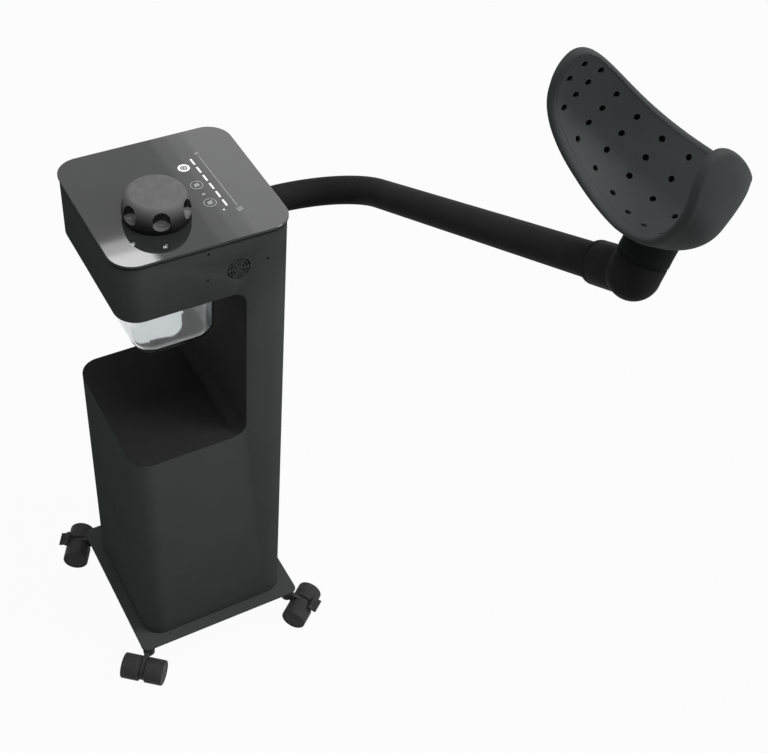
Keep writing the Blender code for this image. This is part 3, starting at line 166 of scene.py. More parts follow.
# Arm
ARM_DROP = 0.0546
ARM_HEIGHT = CASING_TOP - ARM_DROP
ARM_RISE = 26.65
ARM_RADIUS = 0.0215
ARM_WALL = 0.002
ARM_BACK = 0.1433
ARM_LENGTH = 0.7307
ARM_BEND = 0.13
SOCKET_DEPTH = 0.037
SOCKET_BORE = 0.0236
SOCKET_SLEEVE = 0.0261
SOCKET_FLANGE = 0.034
SOCKET_FLANGE_THICK = 0.004
SOCKET_END = 0.0035

# Elbow
COLLAR_BEFORE_ELBOW = 0.068
COLLAR_LENGTH = 0.01
COLLAR_CHAMFER = 0.003
ELBOW_RADIUS = 0.0262
BRANCH_RADIUS = 0.0305
BALL_END = 88.0
ELBOW_BLEND = 0.02
ELBOW_SOCKET = 0.034
ELBOW_PASSAGE = 0.017
ELBOW_TURN = 69.3
ELBOW_LEAN = 24.2
NECK_SPIGOT = 0.0245
NECK_SPIGOT_LENGTH = 0.012
SPIGOT_CHAMFER = 0.004
NECK_PASSAGE = 0.0135
NECK_SEAL_HEIGHT = 0.0017
NECK_SEAL_INSET = 0.0012
SEAM_MARGIN = 0.0005
TURN_COSINE = math.cos(math.radians(ELBOW_TURN))
TURN_SINE = math.sin(math.radians(ELBOW_TURN))
SEAM = (ELBOW_RADIUS - NECK_SPIGOT * TURN_COSINE) / TURN_SINE + SEAM_MARGIN

# Hood
HOOD_TWIST = 10.6
HOOD_LEAN = 23.7
HOOD_RADIUS = 0.0953
HOOD_CROWN_ARC = 0.1094
WING_RADIUS = 0.2095
HOOD_HALF_ARC = 0.2041
HOOD_HALF_LOW = 0.0495
HOOD_HALF_HIGH = 0.0547
HOOD_CURL_LOW = 0.03
HOOD_CURL_HIGH = 0.42
HOOD_NARROWING = 3.6
HOOD_TAPER_LOW = 0.18
HOOD_TAPER_HIGH = 0.368
HOOD_TAPER_POWER = 1.3
HOOD_TIP_LIFT = 0.0338
HOOD_LIFT_POWER = 2.5
HOOD_RISE = 0.0942
RIM_RADIUS = 0.006
RIM_WIDTH = 0.002
HOOD_BULGE = 0.004
HOOD_WALL = 0.003
LINER_THICK = 0.0025
LINER_LAP = 0.0014
HOOD_CELLS_ACROSS = 72
HOOD_CELLS_ALONG = 30
RIM_STEPS = 12
HOLE_RADIUS = 0.0036
HOLE_PITCH = 0.0374
HOLE_COLUMNS = 10
HOLE_ROWS = 4
HOLE_ROW_PITCH = 0.0296
HOLE_ROW_TAPER = 0.494
HOLE_TIP_ARC = 0.191
HOLE_TIP_ROWS = (0.82, 2.11)
HOLE_STEPS = 24
NECK_RING_ACROSS = 0.036
NECK_RING_ALONG = 0.0267
NECK_RING_SHIFT = -0.0103
NECK_FLARE = 0.25
NECK_LOFT_STEPS = 12
HOOD_VOXEL = 0.0016
SMOOTHING = 0.5
EVEN_ROUNDS = 3
NECK_BLEND_ROUNDS = 60
NECK_BLEND_OUTER = 0.046
NECK_BLEND_START = 0.006
NECK_BLEND_TOP = 0.116
# Painted shade on the hood's neck: distances from the neck's foot where the painted shade is deepest and
# where it ends, and the share of the colour left there
NECK_PAINTED_SHADE_NEAR = 0.034
NECK_PAINTED_SHADE_FAR = 0.068
NECK_PAINTED_SHADE_DEPTH = 0.28

# Castors
CASTOR_X = 0.1365
CASTOR_Y = 0.1385
CASTOR_TRAIL = 0.031
WHEEL_RADIUS = 0.023
WHEEL_WIDTH = 0.033
WHEEL_GAP = 0.01
WHEEL_EDGE = 0.0024
WHEEL_FACE = 0.0012
WHEEL_FACE_RIM = 0.0035
WHEEL_HUB = 0.006
WHEEL_STEPS = 72
AXLE_RADIUS = 0.003
WEB_THICK = 0.008
WEB_RADIUS = 0.0195
LEG_BACK = 0.0175
LEG_DROP = 0.0065
LEG_RISE = 0.0185
STEM_FLANGE = 0.0135
STEM_FLANGE_THICK = 0.003
STEM_CONE = 0.0045
STEM_PIN = 0.004
SWIVEL_RADIUS = 0.0105
SWIVEL_SOCKET_LOW = 0.034
SWIVEL_SOCKET_FLOOR = 0.0027
SWIVEL_FLOOR = SWIVEL_SOCKET_LOW + SWIVEL_SOCKET_FLOOR
CONE_LOW = PLATE_LOW - GAP - STEM_FLANGE_THICK - STEM_CONE
HUB = Vector((CASTOR_TRAIL, 0, WHEEL_RADIUS))
PEDAL_HINGE_X = 0.021
PEDAL_HINGE_Z = 0.018
PEDAL_EAR = 0.004
PEDAL_LUG = 0.0032
PEDAL_PIN = 0.0016
PEDAL_WIDTH = 0.028
PEDAL_LENGTH = 0.0135
PEDAL_THICK = 0.0035
PEDAL_TILT = 12.0
PEDAL_GRIPS = 4
GRIP_START = 0.45
GRIP_PITCH = 0.14
GRIP_SPAN = 0.7
GRIP_WIDTH = 0.0012
GRIP_RISE = 0.0006
CASTORS = {
    "front_right": (1, -1, -40.0, False),
    "back_right": (1, 1, 38.0, True),
    "front_left": (-1, -1, -121.0, True),
    "back_left": (-1, 1, 140.0, False),
}

# Signs on the glass: places in plan, sizes and widths of strokes
SIGN_LIFT = 0.00002
SIGN_THICK = 0.00008
SIGN_LOW = GLASS_TOP + SIGN_LIFT
SIGN_HIGH = SIGN_LOW + SIGN_THICK
POWER_PLACE = (-0.047, 0.038)
POWER_RING = (0.009, 0.0055)
POWER_ARC = 0.0029
POWER_ARC_ENDS = (125, 415)
POWER_ARC_STEPS = 24
POWER_STEM = (0.0005, 0.0045)
POWER_STROKE = 0.0011
BARS = 6
BARS_START = (-0.066, 0.0555)
BARS_END = (0.062, 0.0595)
BAR_SHIFT = 0.14
BAR_SHARE = 0.7
BAR_STROKE = 0.003
DOT = (0.0656, 0.0515, 0.0015)
TOUCH_PLACES = ((-0.002, 0.039), (0.043, 0.04))
TOUCH_RING = (0.0092, 0.0086)
TOUCH_STEAM = 0.0075
DROP = (0.0215, 0.04, 0.006)
SLIDER = ((-0.0655, 0.0696), (0.0637, 0.0726))
SLIDER_STROKE = 0.0009
SLIDER_STEAM = ((-0.0725, 0.0694, 0.006), (0.0725, 0.073, 0.009))
LOCKS = ((0.0845, -0.0933, 0.0075, False, 45.0), (0.1071, -0.0557, 0.0075, True, 75.0))

# Forms of the signs: shares of their sizes, ends of arcs in degrees and steps
WAVE_PITCH = 0.32
WAVE_SWING = 0.09
WAVE_STROKE = 0.13
WAVE_STEPS = 12
DROP_ROUND = 0.36
DROP_SINK = 0.14
DROP_ENDS = (150, 390)
DROP_STEPS = 16
LOCK_HALF = 0.36
LOCK_TOP = 0.08
BOW_RADIUS = 0.24
BOW_MIDDLE = 0.2
BOW_FOOT = 0.1
BOW_SHIFT = 0.3
BOW_STROKE = 0.1
BOW_STEPS = 10

# Screws: places, radius and height of the heads, and the form of a head as shares of these and angles
SIDE_SCREWS = ((-0.001, 0.916), (0.0905, 0.8776), (-0.003, 0.869))
SIDE_SCREW = (0.0022, 0.0006)
BACK_SCREW_X = 0.084
BACK_SCREW_HEIGHTS = (0.075, 0.33, 0.62, 0.908)
BACK_SCREW = (0.003, 0.0012)
SCREW_EDGE = 0.3
SCREW_DOME = (0.4, 0.8, 1.1, 1.35)
SCREW_STEPS = 24
CROSS_REACH = 0.6
CROSS_HALF = 0.12
CROSS_FLOOR = 0.4

# Floor and surround
WHITE = (1.0, 1.0, 1.0, 1.0)
FLOOR_SIZE = 30.0
FLOOR_COLOUR = (0.5, 0.5, 0.5, 1.0)
FLOOR_ROUGHNESS = 0.9
FLOOR_WHITENESS = 0.96
SURROUND_STRENGTH = 0.27

# Lamps: place, the point it faces or None for straight down, size and radiance
LAMPS = {
    "key": ((2.0, 2.7, 2.7), (0.5, 0.25, 1.1), (1.3, 1.3), 11.0),
    "overhead": ((0.6, 0.2, 3.8), None, (1.8, 1.8), 4.0),
    "window": ((-2.4, 1.66, 3.0), None, (1.5, 1.0), 0.5),
    "window_middle": ((-2.4, 1.66, 3.02), None, (1.62, 1.12), 0.4),
    "window_edge": ((-2.4, 1.66, 3.04), None, (1.74, 1.24), 0.4),
    "patch": ((-2.218, 0.639, 3.0), None, (0.198, 0.276), 4.0),
    "patch_core": ((-2.19, 0.639, 3.02), None, (0.141, 0.262), 4.5),
}

# The photograph's camera
CAMERA_PLACE = (1.4648, -0.5689, 2.1417)
CAMERA_AZIMUTH = 56.6466
CAMERA_ELEVATION = 45.015
CAMERA_ROLL = 5.9453
CAMERA_LENS = 63.34
SENSOR_WIDTH = 36.0


def shift(x, y, z):
    """A move."""
    return Matrix.Translation((x, y, z))


def spin(angle, axis):
    """A turn about an axis, in degrees."""
    return Matrix.Rotation(math.radians(angle), 4, axis)


# Turns that lay the Z axis of a turned shape along X or along Y
ALONG_X = spin(90, "Y")
ALONG_Y = spin(-90, "X")


# Finishes

RAMP_STOPS = (0.3, 0.7)
PATCH_DETAIL = 4.0
GLOSS_DETAIL = 3.0
GLOSS_SCALE = 2.3
GRAIN_DETAIL = 2.0
GRAIN_HEIGHT = 0.0004


def add_node(tree, kind, inputs=None, **settings):
    """A new shader node. Each input is a value, or the output of another node that feeds it."""
    node = tree.nodes.new(kind)
    for name, value in settings.items():
        setattr(node, name, value)
    for socket, value in (inputs or {}).items():
        if isinstance(value, bpy.types.NodeSocket):
            tree.links.new(value, node.inputs[socket])
        else:
            node.inputs[socket].default_value = value
    return node


def material(name, colour, roughness, shine, patches, grain, spread=0.06, shade=None, **sockets):
    """A finish with soft patches of colour and gloss and a fine grain.

    shine is the specular level, patches is the scale and strength of the colour change, grain is the
    scale and strength of the bumps, spread is how far the roughness wanders. shade darkens the colour by
    the distance from a point: the point, the distances where the shade is deepest and where it ends, and
    the share of the colour that is left where it is deepest. Further sockets are set on the shader.
    """
    look = bpy.data.materials.new(name)
    look.use_nodes = True
    tree = look.node_tree
    shader = tree.nodes["Principled BSDF"]
    shader.inputs["Specular IOR Level"].default_value = shine
    for socket, value in sockets.items():
        shader.inputs[socket.replace("_", " ")].default_value = value
    place = add_node(tree, "ShaderNodeTexCoord").outputs["Object"]

    def noise(scale, detail):
        inputs = {"Scale": scale, "Detail": detail, "Vector": place}
        return add_node(tree, "ShaderNodeTexNoise", inputs).outputs["Fac"]

    ramp = add_node(tree, "ShaderNodeValToRGB", {"Fac": noise(patches[0], PATCH_DETAIL)})
    for element, stop, side in zip(ramp.color_ramp.elements, RAMP_STOPS, (-1, 1)):
        element.position = stop
        element.color = [channel * (1 + side * patches[1]) for channel in colour] + [1.0]
    tint = ramp.outputs["Color"]
    if shade:
        point, deepest, end, left = shade
        away = add_node(tree, "ShaderNodeVectorMath", {0: place, 1: point}, operation="DISTANCE")
        inputs = {"Value": away.outputs["Value"], "From Min": deepest, "From Max": end, "To Min": left}
        fade = add_node(tree, "ShaderNodeMapRange", inputs, interpolation_type="SMOOTHSTEP")
        inputs = {0: tint, "Scale": fade.outputs["Result"]}
        tint = add_node(tree, "ShaderNodeVectorMath", inputs, operation="SCALE").outputs["Vector"]
    tree.links.new(tint, shader.inputs["Base Color"])
    inputs = {"Value": noise(GLOSS_SCALE * patches[0], GLOSS_DETAIL)}
    inputs["To Min"] = max(roughness - spread, 0.0)
    inputs["To Max"] = roughness + spread
    gloss = add_node(tree, "ShaderNodeMapRange", inputs)
    tree.links.new(gloss.outputs["Result"], shader.inputs["Roughness"])
    inputs = {"Strength": grain[1], "Distance": GRAIN_HEIGHT, "Height": noise(grain[0], GRAIN_DETAIL)}
    bump = add_node(tree, "ShaderNodeBump", inputs)
    tree.links.new(bump.outputs["Normal"], shader.inputs["Normal"])
    return look


POWDER = material("powder_coat", (0.075, 0.08, 0.0785), 0.66, 0.0, (9, 0.05), (2200, 0.16))
LINING = material("black_sheet", (0.034, 0.034, 0.034), 0.66, 0.02, (14, 0.06), (2000, 0.14))
RUBBER = material("mat_rubber", (0.031, 0.031, 0.031), 0.85, 0.02, (40, 0.06), (1600, 0.25))
GLASS = material("black_glass", (0.028, 0.029, 0.029), 0.045, 0.5, (12, 0.04), (60, 0.004), 0.012, IOR=1.55)
GLASS_EDGE = material("glass_edge", (0.078, 0.082, 0.081), 0.5, 0.02, (60, 0.1), (1800, 0.1))
CLEAR = material("clear_moulding", (0.76, 0.79, 0.79), 0.035, 0.3, (20, 0.02), (90, 0.02), 0.015,
                 Transmission_Weight=1.0, IOR=1.49)
CAP_COLOUR = (0.168, 0.1675, 0.1675)
CAP_FINISH = (0.5, 0.08, (60, 0.1), (1800, 0.22))
CAP = material("cap_plastic", CAP_COLOUR, *CAP_FINISH)
# Painted shade and painted dark reflection: near black on the steep walls of the finger scallops, which are
# the cap's own plastic
SCALLOP_WALL_PAINTED_SHADE = material("cap_scallop", (0.004, 0.004, 0.004), 0.16, 0.6, (60, 0.15), (1800, 0.05))
SCALLOP_BOTTOM = material("cap_scallop_floor", CAP_COLOUR, 0.28, 0.3, (60, 0.15), (1800, 0.05))
# Near black for the cap's skirt: partly its own dark plastic, partly painted shade under the crown
SKIRT = material("cap_skirt", (0.004, 0.004, 0.004), 0.5, 0.12, (60, 0.15), (1800, 0.15))
TUBE = material("tube_coat", (0.024, 0.024, 0.0242), 0.6, 0.02, (20, 0.1), (2400, 0.18))
HOOD_COLOUR = (0.066, 0.074, 0.073)
HOOD_FINISH = (0.58, 0.01, (16, 0.06), (1700, 0.12))
HOOD = material("hood_plastic", HOOD_COLOUR, *HOOD_FINISH)
CASTOR = material("castor_plastic", (0.052, 0.052, 0.0525), 0.55, 0.08, (70, 0.14), (1500, 0.28))
INNER = material("inner_plastic", (0.014, 0.014, 0.014), 0.55, 0.2, (40, 0.12), (1200, 0.2))
SILICONE = material("hose_silicone", (0.48, 0.48, 0.45), 0.42, 0.4, (40, 0.06), (700, 0.1))
STEEL = material("turned_steel", (0.46, 0.46, 0.45), 0.3, 0.5, (90, 0.08), (1500, 0.08), Metallic=1.0)
SCREW = material("black_screw", (0.002, 0.002, 0.002), 0.45, 0.1, (200, 0.2), (1500, 0.12))
BRASS = material("heater_brass", (0.55, 0.4, 0.17), 0.34, 0.5, (60, 0.1), (900, 0.1), Metallic=1.0)
BOARD = material("board_lacquer", (0.014, 0.095, 0.04), 0.4, 0.4, (120, 0.2), (600, 0.2))
LIT_SIGN = material("lit_sign", (0.86, 0.86, 0.86), 0.5, 0.3, (300, 0.03), (900, 0.05),
                    Emission_Color=WHITE, Emission_Strength=0.35)
PRINT = material("printed_sign", (0.8, 0.81, 0.81), 0.5, 0.3, (400, 0.08), (900, 0.05))
FAINT_PRINT = material("faint_print", (0.5, 0.51, 0.51), 0.5, 0.3, (400, 0.08), (900, 0.05))


# Shapes

def bridge(mesh, loops):
    """Join a row of equal closed loops of vertices."""
    for lower, upper in zip(loops, loops[1:]):
        for i in range(len(lower)):
            j = (i + 1) % len(lower)
            mesh.faces.new((lower[i], lower[j], upper[j], upper[i]))


def loft(loops, ring=False):
    """Skin a row of equal loops. The ends are capped, or joined to each other when the row is a ring."""
    mesh = bmesh.new()
    rows = [[mesh.verts.new(point) for point in loop] for loop in loops]
    if ring:
        bridge(mesh, rows + rows[:1])
    else:
        bridge(mesh, rows)
        mesh.faces.new(rows[0][::-1])
        mesh.faces.new(rows[-1])
    return mesh


def as_data(mesh, name):
    """Mesh data with its faces turned outwards, from a bmesh, which is used up."""
    bmesh.ops.recalc_face_normals(mesh, faces=mesh.faces)
    data = bpy.data.meshes.new(name)
    mesh.to_mesh(data)
    mesh.free()
    return data


def linked(name, data):
    """A new object in the scene."""
    item = bpy.data.objects.new(name, data)
    bpy.context.collection.objects.link(item)
    return item


def join(meshes):
    """Several separate shapes in one bmesh."""
    whole = bmesh.new()
    for mesh in meshes:
        data = as_data(mesh, "shape")
        whole.from_mesh(data)
        bpy.data.meshes.remove(data)
    return whole


def moved(mesh, place):
    """The same shape after a move."""
    bmesh.ops.transform(mesh, matrix=place, verts=mesh.verts)
    return mesh


def scratch(mesh):
    """A helper object from a bmesh, which is used up."""
    return linked("scratch", as_data(mesh, "scratch"))


def settled(item):
    """The helper's mesh with its modifiers in it, as a bmesh. The helper is removed."""
    evaluated = item.evaluated_get(bpy.context.evaluated_depsgraph_get())
    mesh = bmesh.new()
    mesh.from_mesh(evaluated.to_mesh())
    evaluated.to_mesh_clear()
    bpy.data.objects.remove(item, do_unlink=True)
    return mesh


def combined(mesh, tool, operation="DIFFERENCE"):
    """One shape cut by another, joined to it or kept where they meet."""
    item = scratch(mesh)
    other = scratch(tool)
    boolean = item.modifiers.new("combine", "BOOLEAN")
    boolean.operation = operation
    boolean.object = other
    result = settled(item)
    bpy.data.objects.remove(other, do_unlink=True)
    return result


def softened(mesh, width=SOFT_EDGE, steps=2):
    """The same shape with its sharp edges rounded."""
    item = scratch(mesh)
    bevel = item.modifiers.new("soften", "BEVEL")
    bevel.width = width
    bevel.segments = steps
    bevel.limit_method = "ANGLE"
    bevel.angle_limit = math.radians(BEVEL_ANGLE)
    bevel.use_clamp_overlap = True
    return settled(item)


def smooth(mesh, vertices, rounds):
    """Even out some vertices of a shape."""
    for _ in range(rounds):
        bmesh.ops.smooth_vert(
            mesh, verts=vertices, factor=SMOOTHING, use_axis_x=True, use_axis_y=True, use_axis_z=True)


def piece(name, mesh, looks, body, nodes=(), sharp=SHARP_ANGLE):
    """A finished piece in the part's frame that rides on a body and may stand for CAD nodes."""
    data = as_data(mesh, name)
    data.shade_smooth()
    data.set_sharp_from_angle(angle=math.radians(sharp))
    for look in looks:
        data.materials.append(look)
    item = linked(name, data)
    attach(item, body)
    if nodes:
        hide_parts(*nodes)


def skin(node, mesh, look, body, name=None, sharp=SHARP_ANGLE):
    """The piece that stands for one CAD node, in one finish. It is named after the node or by a name."""
    piece(f"{name or node}_skin", mesh, [look], body, [node], sharp)


def rounded_rectangle(half_x, half_y, radius, middle=(0.0, 0.0)):
    """Outline with four round corners, counter-clockwise from the right end of the front edge.

    Each corner has a further point on the flats beside it, which keeps the flats even in the light.
    """
    beside = min(FLAT_SUPPORT, (half_x - radius) / 2, (half_y - radius) / 2)
    points = []
    for corner, (side_x, side_y) in enumerate(((1, -1), (1, 1), (-1, 1), (-1, -1))):
        centre = (middle[0] + side_x * (half_x - radius), middle[1] + side_y * (half_y - radius))
        bend = arc(radius, centre, 90 * corner - 90, 90 * corner)
        way = Vector((math.cos(math.radians(90 * corner)), math.sin(math.radians(90 * corner)))) * beside
        points.append((bend[0][0] - way.x, bend[0][1] - way.y))
        points += bend
        points.append((bend[-1][0] - way.y, bend[-1][1] + way.x))
    return points


def at_height(outline, z):
    """A plan outline lifted to one height."""
    return [Vector((x, y, z)) for x, y in outline]


def slab(outline, low, high):
    """A plan outline extruded between two heights."""
    return loft([at_height(outline, low), at_height(outline, high)])


def box(low, high):
    """A block between two corners."""
    outline = [(low[0], low[1]), (high[0], low[1]), (high[0], high[1]), (low[0], high[1])]
    return slab(outline, low[2], high[2])


def circle(radius, z, steps=ROUND_STEPS):
    """Points round the Z axis."""
    turns = [2 * math.pi * step / steps for step in range(steps)]
    return [Vector((radius * math.cos(turn), radius * math.sin(turn), z)) for turn in turns]


def turned(profile, steps=ROUND_STEPS, ring=False):
    """A (radius, height) profile turned about Z. A hollow piece gives its profile as a ring."""
    return loft([circle(radius, z, steps) for radius, z in profile], ring)


def rod(radius, low, high):
    """A plain cylinder about Z."""
    return turned([(radius, low), (radius, high)])


def hoop(inner, outer, low, high):
    """A plain ring about Z."""
    return turned([(inner, low), (outer, low), (outer, high), (inner, high)], ring=True)


def arc(radius, centre, start, end, steps=CORNER_STEPS):
    """Profile points on an arc, angles in degrees."""
    turns = [math.radians(start + (end - start) * step / steps) for step in range(steps + 1)]
    return [(centre[0] + radius * math.cos(t), centre[1] + radius * math.sin(t)) for t in turns]


def bent(points, radius):
    """A polyline with each inner corner replaced by an arc of the given radius."""
    path = [points[0]]
    for before, corner, after in zip(points, points[1:], points[2:]):
        inward = (before - corner).normalized()
        outward = (after - corner).normalized()
        half = inward.angle(outward) / 2
        centre = corner + (inward + outward).normalized() * radius / math.sin(half)
        start = corner + inward * radius / math.tan(half)
        axis = inward.cross(outward).normalized()
        sweep = math.pi - 2 * half
        for step in range(BEND_STEPS + 1):
            turn = Matrix.Rotation(-sweep * step / BEND_STEPS, 3, axis)
            path.append(centre + turn @ (start - centre))
    path.append(points[-1])
    return path


def tangents(points):
    """The way of a polyline at each of its points."""
    ways = [(b - a).normalized() for a, b in zip(points, points[1:])]
    return ways[:1] + [(a + b).normalized() for a, b in zip(ways, ways[1:])] + ways[-1:]


def rings(path, radius, steps=ROUND_STEPS):
    """Circles square to a path, carried along it without twist."""
    ways = tangents(path)
    side = ways[0].orthogonal().normalized()
    loops = []
    for point, way in zip(path, ways):
        side = (side - way * side.dot(way)).normalized()
        across = way.cross(side)
        loops.append([point + side * spoke.x + across * spoke.y for spoke in circle(radius, 0, steps)])
    return loops


def tube(path, radius, bore):
    """An open tube along a path."""
    return loft(rings(path, radius) + rings(path, bore)[::-1], ring=True)


# Cabinet

def casing_plan(grow=0.0):
    """The casing's outline in plan, widened by some amount."""
    return rounded_rectangle(HALF_X + grow, HALF_Y + grow, CASING_RADIUS + grow)


def half_outline(grow, side):
    """Half of the casing's plan, from the seam in the middle of the front to the flat of the back."""
    front = -HALF_Y - grow
    right = [(GAP, front), (GAP + FLAT_SUPPORT, front)] + casing_plan(grow)[:2 * CORNER_POINTS - 1]
    return [(side * x, y) for x, y in right]


def recess_path(grow, front):
    """Side view (y, z) of the recess, from the front of the shelf to the front of the head's floor."""
    radius = RECESS_RADIUS + grow
    low = SHELF_TOP - grow
    high = HEAD_FLOOR + grow
    middle_y = COLUMN_FRONT - RECESS_RADIUS
    path = [(front, low)]
    path += arc(radius, (middle_y, low + radius), -90, 0)
    path += arc(radius, (middle_y, high - radius), 0, 90)
    path.append((front, high))
    return path


def fan_grille():
    """Rings of slots broken by bridges, about Z and tall enough to pierce the sheet."""
    slots = []
    for ring in range(1, GRILLE_RINGS + 1):
        middle = ring * GRILLE_PITCH
        inner = middle - GRILLE_SLOT / 2
        outer = middle + GRILLE_SLOT / 2
        half = math.degrees(math.pi / GRILLE_SPOKES - GRILLE_BRIDGE / 2 / middle)
        for spoke in range(GRILLE_SPOKES):
            centre = 360 * spoke / GRILLE_SPOKES
            outline = arc(outer, (0, 0), centre - half, centre + half, GRILLE_ARC_STEPS)
            outline += arc(inner, (0, 0), centre + half, centre - half, GRILLE_ARC_STEPS)
            slots.append(slab(outline, -SHEET, SHEET))
    return join(slots)


def base_plate():
    """Flat plate that stands on the castors."""
    outline = rounded_rectangle(HALF_X + PLATE_MARGIN_X, HALF_Y + PLATE_MARGIN_Y, PLATE_RADIUS)
    skin("base_plate", softened(slab(outline, PLATE_LOW, PLATE_TOP), BOLD_EDGE), POWDER, "cabinet")


def sheet(outer, inner, ends, place):
    """A bent sheet between two outlines. place gives the point for a pair of an outline and an end."""
    low, high = ends
    loops = []
    for face, back in zip(outer, inner):
        loops.append([place(face, low), place(face, high), place(back, high), place(back, low)])
    return loft(loops)


def side_shells():
    """The two half shells of the casing, cut out for the recess, with the grille on the right."""
    for name, side in (("right_side_shell", 1), ("left_side_shell", -1)):
        outer = half_outline(0.0, side)
        inner = half_outline(-SHEET, side)
        shell = sheet(outer, inner, (CASING_LOW, CASING_TOP), lambda point, z: Vector((*point, z)))
        window = recess_path(0.0, -HALF_Y - CASING_RADIUS)
        cutter = loft([[Vector((x, y, z)) for y, z in window] for x in (-2 * HALF_X, 2 * HALF_X)])
        shell = combined(shell, cutter)
        if side > 0:
            middle = shift(HALF_X - SHEET / 2, FAN_BACK, FAN_HEIGHT)
            shell = combined(shell, moved(fan_grille(), middle @ ALONG_X))
        skin(name, softened(shell, FINE_EDGE), POWDER, "cabinet")


def recess_lining():
    """Folded lining of the recess with the openings for the tank and its outlet."""
    outer = recess_path(0.0, -HALF_Y)
    inner = recess_path(SHEET, -HALF_Y)
    lining = sheet(outer, inner, (-HALF_X, HALF_X), lambda point, x: Vector((x, *point)))
    lining = combined(lining, slab(casing_plan(-SHEET - GAP), CASING_LOW, CASING_TOP), "INTERSECT")
    lining = combined(lining, loft([tank_loop(-GAP, z) for z in (TANK_LOW, CASING_TOP)]))
    hole = rod(OUTLET_RADIUS + GAP, -RECESS_RADIUS, RECESS_RADIUS)
    place = shift(OUTLET_X, COLUMN_FRONT, OUTLET_HEIGHT) @ ALONG_Y
    lining = combined(lining, moved(hole, place))
    piece("recess_lining", lining, [LINING], "cabinet", ["recess_liner"])


def shelf_mat():
    """Flat mat on the shelf."""
    whole = casing_plan()
    back = COLUMN_FRONT - RECESS_RADIUS - GAP
    outline = whole[:CORNER_POINTS] + [(HALF_X, back), (-HALF_X, back)] + whole[3 * CORNER_POINTS:]
    skin("shelf_mat", softened(slab(outline, MAT_TOP - MAT_THICK, MAT_TOP)), RUBBER, "cabinet")


def top_frame():
    """Black frame under the glass: partly a gasket's own black, partly painted shade in the gap under the
    glass.
    """
    low = CASING_TOP + GAP
    high = GLASS_LOW - GAP
    loops = []
    for inset, heights in ((FRAME_INSET, (low, high)), (FRAME_INSET + FRAME_WIDTH, (high, low))):
        loops += [at_height(casing_plan(-inset), z) for z in heights]
    skin("top_frame", loft(loops, ring=True), RUBBER, "cabinet")


def glass_top():
    """Control glass with a ground edge."""
    loops = []
    for inset, z in ((GLASS_CHAMFER, GLASS_LOW), (0.0, GLASS_LOW + GLASS_CHAMFER),
                     (0.0, GLASS_TOP - GLASS_CHAMFER), (GLASS_CHAMFER, GLASS_TOP)):
        loops.append(at_height(casing_plan(GLASS_OVERHANG - inset), z))
    hole = moved(rod(NECK_HOLE, CASING_TOP, 2 * GLASS_TOP), shift(FILLER_X, FILLER_Y, 0))
    glass = combined(loft(loops), hole)
    glass.normal_update()
    for face in glass.faces:
        face.material_index = int(abs(face.normal.z) < GLASS_EDGE_TILT)
    piece("glass_skin", glass, [GLASS, GLASS_EDGE], "cabinet", ["glass_top"])


def tank_loop(inset, z):
    """The tank's plan, drawn in by the inset, at one height."""
    half_x = TANK_WIDTH / 2 - inset
    half_y = TANK_DEPTH / 2 - inset
    return at_height(rounded_rectangle(half_x, half_y, TANK_CORNER - inset, (0, -TANK_FORWARD)), z)


def tank_bottom(wall):
    """Loops of the tank's round bottom edge, drawn in by the wall, from the bottom up."""
    bend = min(TANK_EDGE, TANK_CORNER - TANK_WALL) - wall
    loops = []
    for step in range(CORNER_STEPS + 1):
        turn = math.radians(90 * step / CORNER_STEPS)
        inset = wall + bend * (1 - math.sin(turn))
        loops.append(tank_loop(inset, TANK_LOW + wall + bend * (1 - math.cos(turn))))
    return loops


def water_tank():
    """Clear cup with a round bottom edge and a flange."""
    under = TANK_TOP - TANK_WALL
    loops = tank_bottom(0.0)
    for inset, z in ((0.0, under), (-TANK_FLANGE, under), (-TANK_FLANGE, TANK_TOP), (TANK_WALL, TANK_TOP)):
        loops.append(tank_loop(inset, z))
    loops += reversed(tank_bottom(TANK_WALL))
    place = shift(OUTLET_X, TANK_DEPTH / 2 - TANK_FORWARD, OUTLET_HEIGHT) @ ALONG_Y
    hole = moved(rod(OUTLET_RADIUS + GAP, -TANK_CORNER, TANK_CORNER), place)
    skin("water_tank", combined(loft(loops), hole), CLEAR, "cabinet", "tank")


def in_scallop(point):
    """Whether a point of the crown lies in a finger scallop."""
    for number in range(SCALLOPS):
        turn = math.radians(SCALLOP_ANGLE + 360 * number / SCALLOPS)
        out = math.hypot(point.x - SCALLOP_REACH * math.cos(turn), point.y - SCALLOP_REACH * math.sin(turn))
        out = max(out - SCALLOP_SKIN, 0.0)
        if out < SCALLOP_RADIUS:
            arch = math.sqrt(SCALLOP_RADIUS ** 2 - out ** 2)
            low = SCALLOP_FLOOR - SCALLOP_SKIN
            return low < point.z < SCALLOP_TOP - SCALLOP_RADIUS + arch + SCALLOP_SKIN
    return False


CAP_FRAME = shift(FILLER_X, FILLER_Y, GLASS_TOP)


def scallop_cutters():
    """What the finger scallops take away: upright pits with an oval bottom and a round top."""
    profile = []
    for step in range(CORNER_STEPS + 1):
        turn = math.radians(DOME_END * (step / CORNER_STEPS - 1))
        height = SCALLOP_FLOOR + SCALLOP_ROUND * (1 + math.sin(turn))
        profile.append((SCALLOP_RADIUS * math.cos(turn), height))
    profile += arc(SCALLOP_RADIUS, (0, SCALLOP_TOP - SCALLOP_RADIUS), 0, DOME_END)
    cutters = []
    for number in range(SCALLOPS):
        place = spin(SCALLOP_ANGLE + 360 * number / SCALLOPS, "Z") @ shift(SCALLOP_REACH, 0, 0)
        cutters.append(moved(turned(profile, SCALLOP_STEPS), place))
    return join(cutters)


